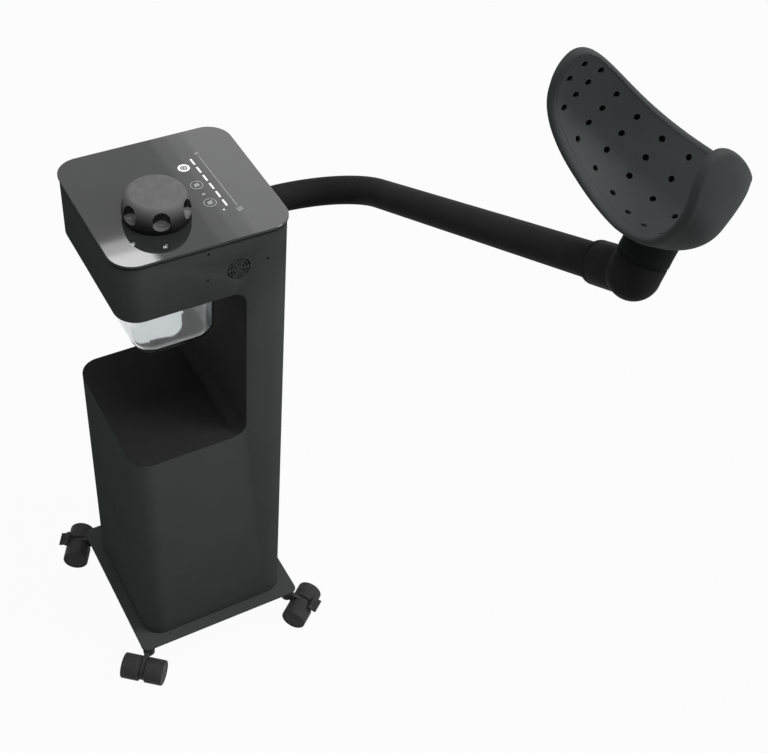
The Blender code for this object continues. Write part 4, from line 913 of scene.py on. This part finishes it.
def cap_crown():
    """Crown of the screw cap with its finger scallops, with painted shade on its flank and in its scallop
    walls.
    """
    shoulder = CAP_SKIRT_HEIGHT + CAP_SKIRT_INSET
    profile = [(CAP_PLUG, CAP_SKIRT_HEIGHT), (CAP_RADIUS - CAP_SKIRT_INSET, CAP_SKIRT_HEIGHT)]
    for step in range(2 * CORNER_STEPS + 1):
        turn = math.radians(90 * step / (2 * CORNER_STEPS))
        radius = CAP_TOP_RADIUS + (CAP_RADIUS - CAP_TOP_RADIUS) * math.cos(turn)
        profile.append((radius, shoulder + (CAP_HEIGHT - shoulder) * math.sin(turn)))
    crown = softened(combined(turned(profile, CAP_STEPS), scallop_cutters()), CROWN_EDGE, BOLD_STEPS)
    crown.normal_update()
    for face in crown.faces:
        # Steep scallop walls take the painted shade; the floors keep the cap's colour with more gloss
        if in_scallop(face.calc_center_median()):
            face.material_index = 1 if face.normal.z < SCALLOP_WALL_TILT else 2
    # Painted shade: the crown's colour darkens from the edge of its top down the flank
    shade = (CAP_FRAME @ Vector((0, 0, CAP_HEIGHT)), CAP_PAINTED_SHADE_END, CAP_PAINTED_SHADE_START, CAP_PAINTED_SHADE_DEPTH)
    look = material("cap_crown_plastic_painted_shade", CAP_COLOUR, *CAP_FINISH, shade=shade)
    looks = [look, SCALLOP_WALL_PAINTED_SHADE, SCALLOP_BOTTOM]
    piece("cap_crown", moved(crown, CAP_FRAME), looks, "cap", ["filler_cap"])


def cap_skirt():
    """Skirt and plug under the crown, near black: partly their own dark plastic, partly painted shade under
    the crown.
    """
    skirt = CAP_RADIUS - CAP_SKIRT_INSET
    top = CAP_SKIRT_HEIGHT - GAP
    profile = [
        (CAP_PLUG, -CAP_PLUG_DEPTH), (CAP_PLUG, CAP_HOLLOW_HEIGHT), (CAP_HOLLOW, CAP_HOLLOW_HEIGHT),
        (CAP_HOLLOW, GAP), (skirt, GAP), (skirt, top), (CAP_PLUG, top),
    ]
    base = moved(softened(turned(profile, CAP_STEPS), SKIRT_EDGE), CAP_FRAME)
    piece("cap_skirt", base, [SKIRT], "cap")


# Arm, elbow and hood

ARM_FRAME = shift(0, HALF_Y, ARM_HEIGHT) @ spin(-ARM_RISE, "Y")
ELBOW_FRAME = ARM_FRAME @ shift(ARM_LENGTH, ARM_BACK, 0) @ spin(-ELBOW_LEAN, "X")
TO_NECK = spin(90 - ELBOW_TURN, "Y")
HOOD_FRAME = ELBOW_FRAME @ TO_NECK @ spin(HOOD_TWIST, "Z")


def arm():
    """Flange of the socket, the bent tube and its collar."""
    end = SOCKET_END - SOCKET_DEPTH
    flange_top = GAP + SOCKET_FLANGE_THICK
    profile = [
        (SOCKET_SLEEVE, -SOCKET_DEPTH), (SOCKET_SLEEVE, GAP), (SOCKET_FLANGE, GAP),
        (SOCKET_FLANGE, flange_top), (SOCKET_BORE, flange_top), (SOCKET_BORE, -SOCKET_DEPTH),
    ]
    place = shift(0, HALF_Y, ARM_HEIGHT) @ ALONG_Y
    socket = softened(moved(turned(profile, ring=True), place), BOLD_EDGE)
    skin("arm_socket", socket, INNER, "cabinet")
    bush = hoop(ARM_RADIUS + GAP, SOCKET_BORE - GAP, end + GAP, flange_top)
    skin("arm_bush", moved(bush, place), RUBBER, "cabinet")

    collar_start = ARM_LENGTH - COLLAR_BEFORE_ELBOW
    tube_end = collar_start + COLLAR_LENGTH + ELBOW_SOCKET
    corners = [Vector((0, end + 2 * GAP, 0)), Vector((0, ARM_BACK, 0)), Vector((tube_end, ARM_BACK, 0))]
    path = bent(corners, ARM_BEND)
    hollow = tube(path, ARM_RADIUS, ARM_RADIUS - ARM_WALL)
    skin("arm_tube", moved(hollow, ARM_FRAME), TUBE, "arm")
    profile = [
        (ARM_RADIUS + GAP, 0.0), (ELBOW_RADIUS - COLLAR_CHAMFER, 0.0), (ELBOW_RADIUS, COLLAR_CHAMFER),
        (ELBOW_RADIUS, COLLAR_LENGTH), (ARM_RADIUS + GAP, COLLAR_LENGTH),
    ]
    place = ARM_FRAME @ shift(collar_start, ARM_BACK, 0) @ ALONG_X
    skin("tube_collar", moved(softened(turned(profile, ring=True)), place), TUBE, "arm")


def elbow():
    """Elbow with a ball corner and a branch for the hood, and the dark seal on its seam."""
    start = COLLAR_LENGTH + GAP - COLLAR_BEFORE_ELBOW
    blend_out = ELBOW_RADIUS + ELBOW_BLEND
    blend_along = -math.sqrt((BRANCH_RADIUS + ELBOW_BLEND) ** 2 - blend_out ** 2)
    ball_start = math.degrees(math.atan2(blend_along, blend_out))
    profile = [(ELBOW_RADIUS, start)]
    profile += arc(ELBOW_BLEND, (blend_out, blend_along), 180, 180 + ball_start)
    profile += arc(BRANCH_RADIUS, (0, 0), ball_start, BALL_END, ROUND_STEPS // 2)[1:]
    body = moved(turned(profile), ALONG_X)
    spigot_top = SEAM + 2 * GAP + NECK_SEAL_HEIGHT + NECK_SPIGOT_LENGTH
    branch = BRANCH_RADIUS - GAP
    profile = [(branch, 0.0), (branch, SEAM), (NECK_SPIGOT, SEAM)]
    profile.append((NECK_SPIGOT, spigot_top - SPIGOT_CHAMFER))
    profile.append((NECK_SPIGOT - SPIGOT_CHAMFER, spigot_top))
    body = combined(body, moved(turned(profile), TO_NECK), "UNION")
    bore = ARM_RADIUS + GAP
    socket_end = start + ELBOW_SOCKET
    profile = [(bore, start - COLLAR_LENGTH), (bore, socket_end), (ELBOW_PASSAGE, socket_end)]
    profile += arc(ELBOW_PASSAGE, (0, 0), 0, DOME_END)
    body = combined(body, moved(turned(profile), ALONG_X))
    passage = rod(ELBOW_PASSAGE - GAP, 0.0, spigot_top + COLLAR_LENGTH)
    body = softened(combined(body, moved(passage, TO_NECK)))
    skin("elbow", moved(body, ELBOW_FRAME), TUBE, "elbow")
    low = SEAM + GAP
    seal = hoop(NECK_SPIGOT + GAP, BRANCH_RADIUS - NECK_SEAL_INSET, low, low + NECK_SEAL_HEIGHT)
    skin("neck_seal", moved(seal, ELBOW_FRAME @ TO_NECK), RUBBER, "elbow")


def hood_point(across, along, grow, depth):
    """Point of the bowl in the hood's frame.

    across and along run from -1 to 1 over the outline, grow widens the outline and depth is measured
    outwards from the inner face.
    """
    x = across * math.sqrt(1 - along ** 2 / 2)
    y = along * math.sqrt(1 - across ** 2 / 2)
    half = (HOOD_HALF_LOW if y < 0 else HOOD_HALF_HIGH) + grow
    taper = HOOD_TAPER_LOW if y < 0 else HOOD_TAPER_HIGH
    width = half * (1 - taper * abs(x) ** HOOD_TAPER_POWER) * math.sqrt(1 + x ** 2 + x ** 4)
    return bowl((HOOD_HALF_ARC + grow) * x, tip_lift(x) + width * y, depth)


def tip_lift(share):
    """How far the middle line has climbed at a share of the way to a tip."""
    return HOOD_TIP_LIFT * abs(share) ** HOOD_LIFT_POWER


def cross_section(reach_across):
    """Place and turn of the trough's section, a round crown with flatter wings, at an arc length."""
    crown_turn = min(abs(reach_across), HOOD_CROWN_ARC) / HOOD_RADIUS
    turn = crown_turn + max(abs(reach_across) - HOOD_CROWN_ARC, 0.0) / WING_RADIUS
    x = HOOD_RADIUS * math.sin(crown_turn) + WING_RADIUS * (math.sin(turn) - math.sin(crown_turn))
    z = HOOD_RADIUS * (1 - math.cos(crown_turn)) + WING_RADIUS * (math.cos(crown_turn) - math.cos(turn))
    return math.copysign(x, reach_across), z, math.copysign(turn, reach_across)


def bowl(reach_across, along, depth):
    """Point of the bowl at an arc length from its middle line and a place along its trough axis."""
    curl = HOOD_CURL_LOW if along < 0 else HOOD_CURL_HIGH
    narrowing = math.tan(math.radians(HOOD_NARROWING))
    rise = along ** 2 / (2 * curl) + along * narrowing
    x, z, turn = cross_section(reach_across)
    inward = Vector((-math.sin(turn), -along / curl - narrowing, math.cos(turn))).normalized()
    local = Vector((x - rise * math.sin(turn), along, z + rise * math.cos(turn))) - inward * depth
    lean = math.radians(HOOD_LEAN)
    trough = Vector((0, math.sin(lean), math.cos(lean)))
    facing = Vector((0, -math.cos(lean), math.sin(lean)))
    return Vector((local.x, 0, HOOD_RISE)) + trough * local.y + facing * local.z


def shares(cells):
    """Even places from -1 to 1."""
    return [2 * number / cells - 1 for number in range(cells + 1)]


def edge_of(rows):
    """What lies on the edge of a grid, in order round it."""
    return rows[0] + [row[-1] for row in rows[1:-1]] + rows[-1][::-1] + [row[0] for row in rows[-2:0:-1]]


def hood_places():
    """Places of the quilt over the bowl, row by row."""
    return [[(x, y) for x in shares(HOOD_CELLS_ACROSS)] for y in shares(HOOD_CELLS_ALONG)]


def hood_grid(mesh, grow, depth_at):
    """A quilt of faces over the bowl and the vertices of its edge, in order."""
    rows = []
    for places in hood_places():
        rows.append([mesh.verts.new(hood_point(x, y, grow, depth_at(x, y))) for x, y in places])
    for lower, upper in zip(rows, rows[1:]):
        for i in range(HOOD_CELLS_ACROSS):
            mesh.faces.new((lower[i], lower[i + 1], upper[i + 1], upper[i]))
    return edge_of(rows)


def hood_edge(mesh, grow, depth):
    """The same edge as the quilt's, on a wider outline or at another depth, as free vertices."""
    return [mesh.verts.new(hood_point(x, y, grow, depth)) for x, y in edge_of(hood_places())]


def back_depth(across, along):
    """Depth of the hood's back, which swells towards the middle."""
    return 2 * RIM_RADIUS + HOOD_BULGE * (1 - across ** 4) * (1 - along ** 4)


def hood_back():
    """Thick back of the hood with its round rim."""
    mesh = bmesh.new()
    floor = hood_grid(mesh, GAP, lambda x, y: back_depth(x, y) - HOOD_WALL)
    loops = [floor, hood_edge(mesh, GAP, 0.0)]
    for step in range(RIM_STEPS + 1):
        angle = math.pi * step / RIM_STEPS
        grow = RIM_WIDTH + RIM_RADIUS * math.sin(angle)
        loops.append(hood_edge(mesh, grow, RIM_RADIUS * (1 - math.cos(angle))))
    loops.append(hood_grid(mesh, 0.0, back_depth))
    bridge(mesh, loops)
    return mesh


def hood_neck(foot):
    """Neck that flares from its round foot into the hood's back."""
    wall_depth = back_depth(0, 0) - HOOD_WALL / 2
    loops = [[] for _ in range(NECK_LOFT_STEPS + 1)]
    for start in circle(BRANCH_RADIUS, foot):
        flat = Vector((start.x, start.y, 0)).normalized()
        end = bowl(NECK_RING_ACROSS * flat.x, NECK_RING_SHIFT + NECK_RING_ALONG * flat.y, wall_depth)
        knee = Vector((start.x, start.y, end.z - (end.z - foot) * NECK_FLARE))
        for step, loop in enumerate(loops):
            t = step / NECK_LOFT_STEPS
            loop.append(start * (1 - t) ** 2 + knee * 2 * t * (1 - t) + end * t ** 2)
    return loft(loops)


def hood_shell():
    """Moulded back blended into its neck, which has a socket for the spigot and a passage for steam. Its
    colour has painted shade that darkens the neck towards its foot.
    """
    foot = SEAM + 2 * GAP + NECK_SEAL_HEIGHT
    mesh = combined(hood_back(), hood_neck(foot), "UNION")
    socket_end = foot + NECK_SPIGOT_LENGTH + 2 * GAP
    mesh = combined(mesh, rod(NECK_SPIGOT + GAP, foot - COLLAR_LENGTH, socket_end))
    mesh = combined(mesh, rod(NECK_PASSAGE, foot, HOOD_RISE))
    item = scratch(mesh)
    remesh = item.modifiers.new("even", "REMESH")
    remesh.mode = "VOXEL"
    remesh.voxel_size = HOOD_VOXEL
    mesh = settled(item)
    near = []
    for vertex in mesh.verts:
        radius = math.hypot(vertex.co.x, vertex.co.y)
        beside = NECK_SPIGOT + HOOD_WALL < radius < NECK_BLEND_OUTER
        if beside and foot + NECK_BLEND_START < vertex.co.z < NECK_BLEND_TOP:
            near.append(vertex)
    smooth(mesh, list(mesh.verts), EVEN_ROUNDS)
    smooth(mesh, near, NECK_BLEND_ROUNDS)
    # Painted shade: the shell's colour darkens towards the foot of the neck, under the bowl
    shade = (HOOD_FRAME @ Vector((0, 0, foot)), NECK_PAINTED_SHADE_NEAR, NECK_PAINTED_SHADE_FAR, NECK_PAINTED_SHADE_DEPTH)
    look = material("hood_shell_plastic_painted_shade", HOOD_COLOUR, *HOOD_FINISH, shade=shade)
    skin("hood_shell", moved(mesh, HOOD_FRAME), look, "hood", sharp=MOULDED_ANGLE)


def hood_liner():
    """Inner bowl with its steam holes."""
    mesh = bmesh.new()
    bridge(mesh, [hood_grid(mesh, LINER_LAP, lambda x, y: depth) for depth in (0.0, LINER_THICK)])
    cutters = []
    for reach_across, along in hole_places():
        inside = bowl(reach_across, along, -LINER_THICK)
        outside = bowl(reach_across, along, 2 * LINER_THICK)
        cutters.append(loft(rings([inside, outside], HOLE_RADIUS, HOLE_STEPS)))
    mesh = combined(mesh, join(cutters))
    skin("hood_liner", moved(mesh, HOOD_FRAME), HOOD, "hood")


def hole_places():
    """Arc length and place along the trough of every steam hole."""
    places = []
    for column in range(HOLE_COLUMNS):
        reach_across = (column - (HOLE_COLUMNS - 1) / 2) * HOLE_PITCH
        places += [(reach_across, hole_along(reach_across, row)) for row in range(HOLE_ROWS)]
    for side in (-1, 1):
        places += [(side * HOLE_TIP_ARC, hole_along(HOLE_TIP_ARC, row)) for row in HOLE_TIP_ROWS]
    return places


def hole_along(reach_across, row):
    """Place along the trough of one hole in a column."""
    share = abs(reach_across) / HOOD_HALF_ARC
    step = (HOLE_ROWS - 1) / 2 - row
    return step * HOLE_ROW_PITCH * (1 - HOLE_ROW_TAPER * share) + tip_lift(share)


# Castors

def plate_across(outline, half):
    """An outline in the XZ plane thickened across Y."""
    return loft([[point + Vector((0, y, 0)) for point in outline] for y in (-half, half)])


def castor(corner, side_x, side_y, heading, braked):
    """Stem, swivelling housing, two barrel wheels and, on two corners, a brake pedal."""
    at_corner = shift(side_x * CASTOR_X, side_y * CASTOR_Y, 0)
    swivel = at_corner @ spin(heading, "Z")
    castor_stem(corner, at_corner)
    castor_housing(corner, swivel, braked)
    castor_wheels(corner, swivel)


def castor_stem(corner, place):
    """Flange, cone and pin that hold the castor."""
    flange_top = PLATE_LOW - GAP
    profile = [
        (STEM_FLANGE, flange_top), (STEM_FLANGE, flange_top - STEM_FLANGE_THICK),
        (SWIVEL_RADIUS, CONE_LOW), (STEM_PIN, CONE_LOW), (STEM_PIN, SWIVEL_FLOOR + GAP),
    ]
    stem = moved(softened(turned(profile)), place)
    skin(f"{corner}_castor_stem", stem, CASTOR, "cabinet", f"{corner}_stem")


def castor_housing(corner, swivel, braked):
    """Socket for the pin, web between the wheels and, where there is a pedal, its lug."""
    socket_top = CONE_LOW - GAP
    bore = STEM_PIN + GAP
    profile = [
        (SWIVEL_RADIUS, SWIVEL_SOCKET_LOW), (SWIVEL_RADIUS, socket_top),
        (bore, socket_top), (bore, SWIVEL_FLOOR),
    ]
    half = WEB_THICK / 2
    leg = [
        Vector((bore, 0, SWIVEL_SOCKET_LOW + GAP)),
        HUB + Vector((-LEG_BACK, 0, -LEG_DROP)),
        HUB,
        HUB + Vector((0, 0, LEG_RISE)),
        Vector((bore, 0, socket_top - GAP)),
    ]
    at_hub = shift(*HUB) @ ALONG_Y
    housing = combined(turned(profile), plate_across(leg, half - GAP), "UNION")
    housing = combined(housing, moved(rod(WEB_RADIUS, -half, half), at_hub), "UNION")
    if braked:
        hinge = HUB + Vector((PEDAL_HINGE_X, 0, PEDAL_HINGE_Z))
        at_hinge = shift(*hinge) @ ALONG_Y
        across = Vector((PEDAL_HINGE_Z, 0, -PEDAL_HINGE_X)).normalized() * PEDAL_LUG
        lug = [HUB + across, hinge + across, hinge - across, HUB - across]
        housing = combined(housing, plate_across(lug, half - 2 * GAP), "UNION")
        housing = combined(housing, moved(rod(PEDAL_EAR, GAP - half, half - GAP), at_hinge), "UNION")
        housing = combined(housing, moved(rod(PEDAL_PIN + GAP, -WEB_THICK, WEB_THICK), at_hinge))
        brake_pedal(corner, swivel @ shift(*hinge))
    housing = combined(housing, moved(rod(AXLE_RADIUS + GAP, -WEB_THICK, WEB_THICK), at_hub))
    housing = moved(softened(housing), swivel)
    skin(f"{corner}_castor_housing", housing, CASTOR, f"{corner}_swivel", f"{corner}_housing")


def castor_wheels(corner, swivel):
    """Two barrel wheels with hollow faces and hubs."""
    edge = WHEEL_EDGE
    face = WHEEL_WIDTH - WHEEL_FACE
    hollow = WHEEL_RADIUS - WHEEL_FACE_RIM
    bore = AXLE_RADIUS + GAP
    hub_face = WHEEL_WIDTH - WHEEL_FACE / 2
    profile = [(bore, face), (bore, 0.0), (WHEEL_RADIUS - edge, 0.0)]
    profile += arc(edge, (WHEEL_RADIUS - edge, edge), -90, 0)
    profile += arc(edge, (WHEEL_RADIUS - edge, WHEEL_WIDTH - edge), 0, 90)
    profile += [(hollow + WHEEL_FACE, WHEEL_WIDTH), (hollow, face), (WHEEL_HUB + WHEEL_FACE, face)]
    profile += [(WHEEL_HUB, hub_face), (AXLE_RADIUS, hub_face)]
    for number, side in ((1, 1), (2, -1)):
        place = swivel @ shift(HUB.x, side * WHEEL_GAP / 2, HUB.z) @ spin(-90 * side, "X")
        name = f"{corner}_wheel_{number}"
        skin(name, moved(turned(profile, WHEEL_STEPS), place), CASTOR, name)


def brake_pedal(corner, place):
    """Foot pedal on ears beside the housing's lug, with grip ribs on its tongue."""
    half = PEDAL_WIDTH / 2
    pedal = moved(rod(PEDAL_EAR, -half, half), ALONG_Y)
    tongue = box((0, GAP - half, -PEDAL_THICK / 2), (PEDAL_LENGTH, half - GAP, PEDAL_THICK / 2))
    ribs = []
    for number in range(PEDAL_GRIPS):
        x = PEDAL_LENGTH * (GRIP_START + GRIP_PITCH * number)
        high = (x + GRIP_WIDTH, GRIP_SPAN * half, PEDAL_THICK / 2 + GRIP_RISE)
        ribs.append(box((x, -GRIP_SPAN * half, 0), high))
    tongue = combined(softened(tongue, BOLD_EDGE, BOLD_STEPS), join(ribs), "UNION")
    pedal = combined(pedal, moved(tongue, spin(PEDAL_TILT, "Y")), "UNION")
    slot = WEB_THICK / 2 + GAP
    back = 2 * PEDAL_EAR
    pedal = combined(pedal, box((-back, -slot, -back), (PEDAL_EAR + 2 * GAP, slot, back)))
    pin = rod(PEDAL_PIN, -WEB_THICK / 2 - PEDAL_EAR, WEB_THICK / 2 + PEDAL_EAR)
    pedal = combined(pedal, moved(pin, ALONG_Y), "UNION")
    skin(f"{corner}_brake_pedal", moved(pedal, place), CASTOR, f"{corner}_pedal")


# Signs on the glass

def sign_disc(x, y, outer, inner=0.0):
    """A round spot, or a ring."""
    spot = hoop(inner, outer, SIGN_LOW, SIGN_HIGH) if inner else rod(outer, SIGN_LOW, SIGN_HIGH)
    return moved(spot, shift(x, y, 0))


def sign_line(points, width):
    """A printed stroke through plan points."""
    points = [Vector(point) for point in points]
    left = []
    right = []
    for point, way in zip(points, tangents(points)):
        side = Vector((-way.y, way.x)) * width / 2
        left.append(point + side)
        right.append(point - side)
    return slab([(p.x, p.y) for p in left + right[::-1]], SIGN_LOW, SIGN_HIGH)


def steam_sign(x, y, size):
    """Three rising waves."""
    strokes = []
    for number in (-1, 0, 1):
        wave = []
        for step in range(WAVE_STEPS + 1):
            t = step / WAVE_STEPS
            across = number * WAVE_PITCH + WAVE_SWING * math.sin(2 * math.pi * t)
            wave.append((x + size * across, y + size * (t - 0.5)))
        strokes.append(sign_line(wave, size * WAVE_STROKE))
    return join(strokes)


def drop_sign(x, y, size):
    """A water drop."""
    outline = arc(size * DROP_ROUND, (x, y - size * DROP_SINK), *DROP_ENDS, DROP_STEPS)
    return slab(outline + [(x, y + size / 2)], SIGN_LOW, SIGN_HIGH)


def lock_sign(x, y, size, opened, turn):
    """A padlock, shut or open."""
    half = size * LOCK_HALF
    body = box((-half, -size / 2, SIGN_LOW), (half, size * LOCK_TOP, SIGN_HIGH))
    middle = (size * BOW_SHIFT if opened else 0.0, size * BOW_MIDDLE)
    bow = arc(size * BOW_RADIUS, middle, 180, 0, BOW_STEPS)
    foot = size * BOW_FOOT
    bow.insert(0, (bow[0][0], foot))
    if not opened:
        bow.append((bow[-1][0], foot))
    shape = join([body, sign_line(bow, size * BOW_STROKE)])
    return moved(shape, shift(x, y, 0) @ spin(turn, "Z"))


def signs():
    """Power mark, level bars, touch rings, slider, drop and padlocks, all generic."""
    x, y = POWER_PLACE
    lit = [sign_disc(x, y, *POWER_RING)]
    lit.append(sign_line(arc(POWER_ARC, POWER_PLACE, *POWER_ARC_ENDS, POWER_ARC_STEPS), POWER_STROKE))
    lit.append(sign_line([(x, y + rise) for rise in POWER_STEM], POWER_STROKE))
    first = Vector(BARS_START)
    pitch = (Vector(BARS_END) - first) / BARS
    for number in range(BARS):
        start = first + pitch * (number + BAR_SHIFT)
        lit.append(sign_line([start, start + pitch * BAR_SHARE], BAR_STROKE))
    lit.append(sign_disc(*DOT))
    piece("lit_signs", join(lit), [LIT_SIGN], "cabinet")

    printed = []
    for x, y in TOUCH_PLACES:
        printed.append(sign_disc(x, y, *TOUCH_RING))
        printed.append(steam_sign(x, y, TOUCH_STEAM))
    piece("printed_signs", join(printed), [PRINT], "cabinet")

    faint = [drop_sign(*DROP), sign_line(SLIDER, SLIDER_STROKE)]
    faint += [steam_sign(*values) for values in SLIDER_STEAM]
    faint += [lock_sign(*values) for values in LOCKS]
    piece("faint_signs", join(faint), [FAINT_PRINT], "cabinet")


# Fasteners and the mains inlet

def screw(radius, height):
    """A low round head with a cross recess, about Z from zero."""
    profile = [(radius, 0.0), (radius, height * SCREW_EDGE)]
    for turn in SCREW_DOME:
        rise = SCREW_EDGE + (1 - SCREW_EDGE) * math.sin(turn)
        profile.append((radius * math.cos(turn), height * rise))
    head = turned(profile, SCREW_STEPS)
    reach = radius * CROSS_REACH
    half = radius * CROSS_HALF
    for x, y in ((reach, half), (half, reach)):
        head = combined(head, box((-x, -y, height * CROSS_FLOOR), (x, y, 2 * height)))
    return head


def fasteners():
    """Screws in the fan side and in the back panel."""
    heads = []
    for y, z in SIDE_SCREWS:
        heads.append(moved(screw(*SIDE_SCREW), shift(HALF_X, y, z) @ ALONG_X))
    for x in (-BACK_SCREW_X, BACK_SCREW_X):
        for z in BACK_SCREW_HEIGHTS:
            heads.append(moved(screw(*BACK_SCREW), shift(x, HALF_Y, z) @ ALONG_Y))
    piece("casing_screws", join(heads), [SCREW], "cabinet")


def power_inlet():
    """Mains inlet: a flanged box with an open cavity and three blades."""
    place = shift(INLET_X, HALF_Y, INLET_HEIGHT) @ ALONG_Y

    def loop(grow, z):
        radius = INLET_WALL + max(grow, -INLET_WALL / 2)
        return at_height(rounded_rectangle(INLET_WIDTH / 2 + grow, INLET_TALL / 2 + grow, radius), z)

    top = GAP + INLET_FLANGE_THICK
    loops = [loop(0.0, -INLET_DEPTH), loop(0.0, GAP), loop(INLET_FLANGE, GAP), loop(INLET_FLANGE, top)]
    loops += [loop(-INLET_WALL, top), loop(-INLET_WALL, INLET_WALL - INLET_DEPTH)]
    skin("power_inlet", softened(moved(loft(loops), place)), INNER, "cabinet")
    blades = []
    for x, y in BLADE_PLACES:
        low = (x - BLADE_HALF_WIDTH, y - BLADE_HALF_TALL, INLET_WALL - INLET_DEPTH)
        high = (x + BLADE_HALF_WIDTH, y + BLADE_HALF_TALL, BLADE_END)
        blades.append(moved(box(low, high), place))
    piece("inlet_blades", softened(join(blades), FINE_EDGE), [STEEL], "cabinet")


# Finishes of the nodes that show as they are

def dress_nodes():
    """Give every CAD node its procedural finish."""
    looks = {
        "casing_paint": POWDER, "black_sheet": LINING, "mat_rubber": RUBBER, "control_glass": GLASS,
        "tank_clear": CLEAR, "cap_plastic": CAP, "tube_paint": TUBE, "hood_plastic": HOOD,
        "castor_plastic": CASTOR, "axle_steel": STEEL, "inner_plastic": INNER, "hose_rubber": SILICONE,
        "board_green": BOARD, "heater_brass": BRASS,
    }
    for node, slot in SLOTS.items():
        data = frame["nodes"][node].data
        data.materials.clear()
        data.materials.append(looks[slot])


# Floor, light and camera

def seen_white(tree, shader, strength, kind):
    """Mix a shader with plain white for what the camera sees straight, in gloss or through glass."""
    path = add_node(tree, "ShaderNodeLightPath").outputs
    share = path["Is Camera Ray"]
    for ray in ("Is Glossy Ray", "Is Transmission Ray"):
        share = add_node(tree, "ShaderNodeMath", {0: share, 1: path[ray]}, operation="MAXIMUM").outputs[0]
    share = add_node(tree, "ShaderNodeMath", {0: share, 1: strength}, operation="MULTIPLY").outputs[0]
    white = add_node(tree, kind, {"Color": WHITE, "Strength": 1.0})
    inputs = {"Fac": share, 1: shader.outputs[0], 2: white.outputs[0]}
    return add_node(tree, "ShaderNodeMixShader", inputs).outputs[0]


def stage():
    """White floor that keeps the shadow, and a soft white surround."""
    mesh = bmesh.new()
    bmesh.ops.create_grid(mesh, x_segments=1, y_segments=1, size=FLOOR_SIZE)
    data = bpy.data.meshes.new("floor")
    mesh.to_mesh(data)
    mesh.free()
    floor = linked("floor", data)
    look = bpy.data.materials.new("floor_white")
    look.use_nodes = True
    tree = look.node_tree
    shader = tree.nodes["Principled BSDF"]
    shader.inputs["Base Color"].default_value = FLOOR_COLOUR
    shader.inputs["Roughness"].default_value = FLOOR_ROUGHNESS
    shader.inputs["Specular IOR Level"].default_value = 0.0
    white = seen_white(tree, shader, FLOOR_WHITENESS, "ShaderNodeEmission")
    tree.links.new(white, tree.nodes["Material Output"].inputs["Surface"])
    data.materials.append(look)

    world = bpy.data.worlds.new("surround")
    bpy.context.scene.world = world
    world.use_nodes = True
    tree = world.node_tree
    sky = tree.nodes["Background"]
    sky.inputs["Color"].default_value = WHITE
    sky.inputs["Strength"].default_value = SURROUND_STRENGTH
    white = seen_white(tree, sky, 1.0, "ShaderNodeBackground")
    tree.links.new(white, tree.nodes["World Output"].inputs["Surface"])


def lamp(name, place, aim, size, radiance):
    """A soft rectangular lamp. Its power follows from how bright it looks."""
    data = bpy.data.lights.new(name, "AREA")
    data.shape = "RECTANGLE"
    data.size, data.size_y = size
    data.energy = radiance * math.pi * size[0] * size[1]
    item = linked(name, data)
    item.location = place
    item.rotation_mode = "QUATERNION"
    ahead = Vector(aim) - Vector(place) if aim else Vector((0, 0, -1))
    item.rotation_quaternion = ahead.to_track_quat("-Z", "Y")


def light_and_camera():
    """Lamps behind on the right, overhead and where the glass mirrors them, and the photograph's view."""
    for name, values in LAMPS.items():
        lamp(name, *values)
    data = bpy.data.cameras.new("camera")
    data.sensor_fit = "HORIZONTAL"
    data.sensor_width = SENSOR_WIDTH
    data.lens = CAMERA_LENS
    camera = linked("camera", data)
    facing = spin(CAMERA_AZIMUTH, "Z") @ spin(90 - CAMERA_ELEVATION, "X") @ spin(CAMERA_ROLL, "Z")
    camera.matrix_world = shift(*CAMERA_PLACE) @ facing
    bpy.context.scene.camera = camera
    bpy.context.scene.view_settings.view_transform = "Standard"


dress_nodes()
base_plate()
side_shells()
recess_lining()
shelf_mat()
top_frame()
glass_top()
water_tank()
cap_crown()
cap_skirt()
arm()
elbow()
hood_shell()
hood_liner()
for corner_name, settings in CASTORS.items():
    castor(corner_name, *settings)
signs()
fasteners()
power_inlet()
stage()
light_and_camera()
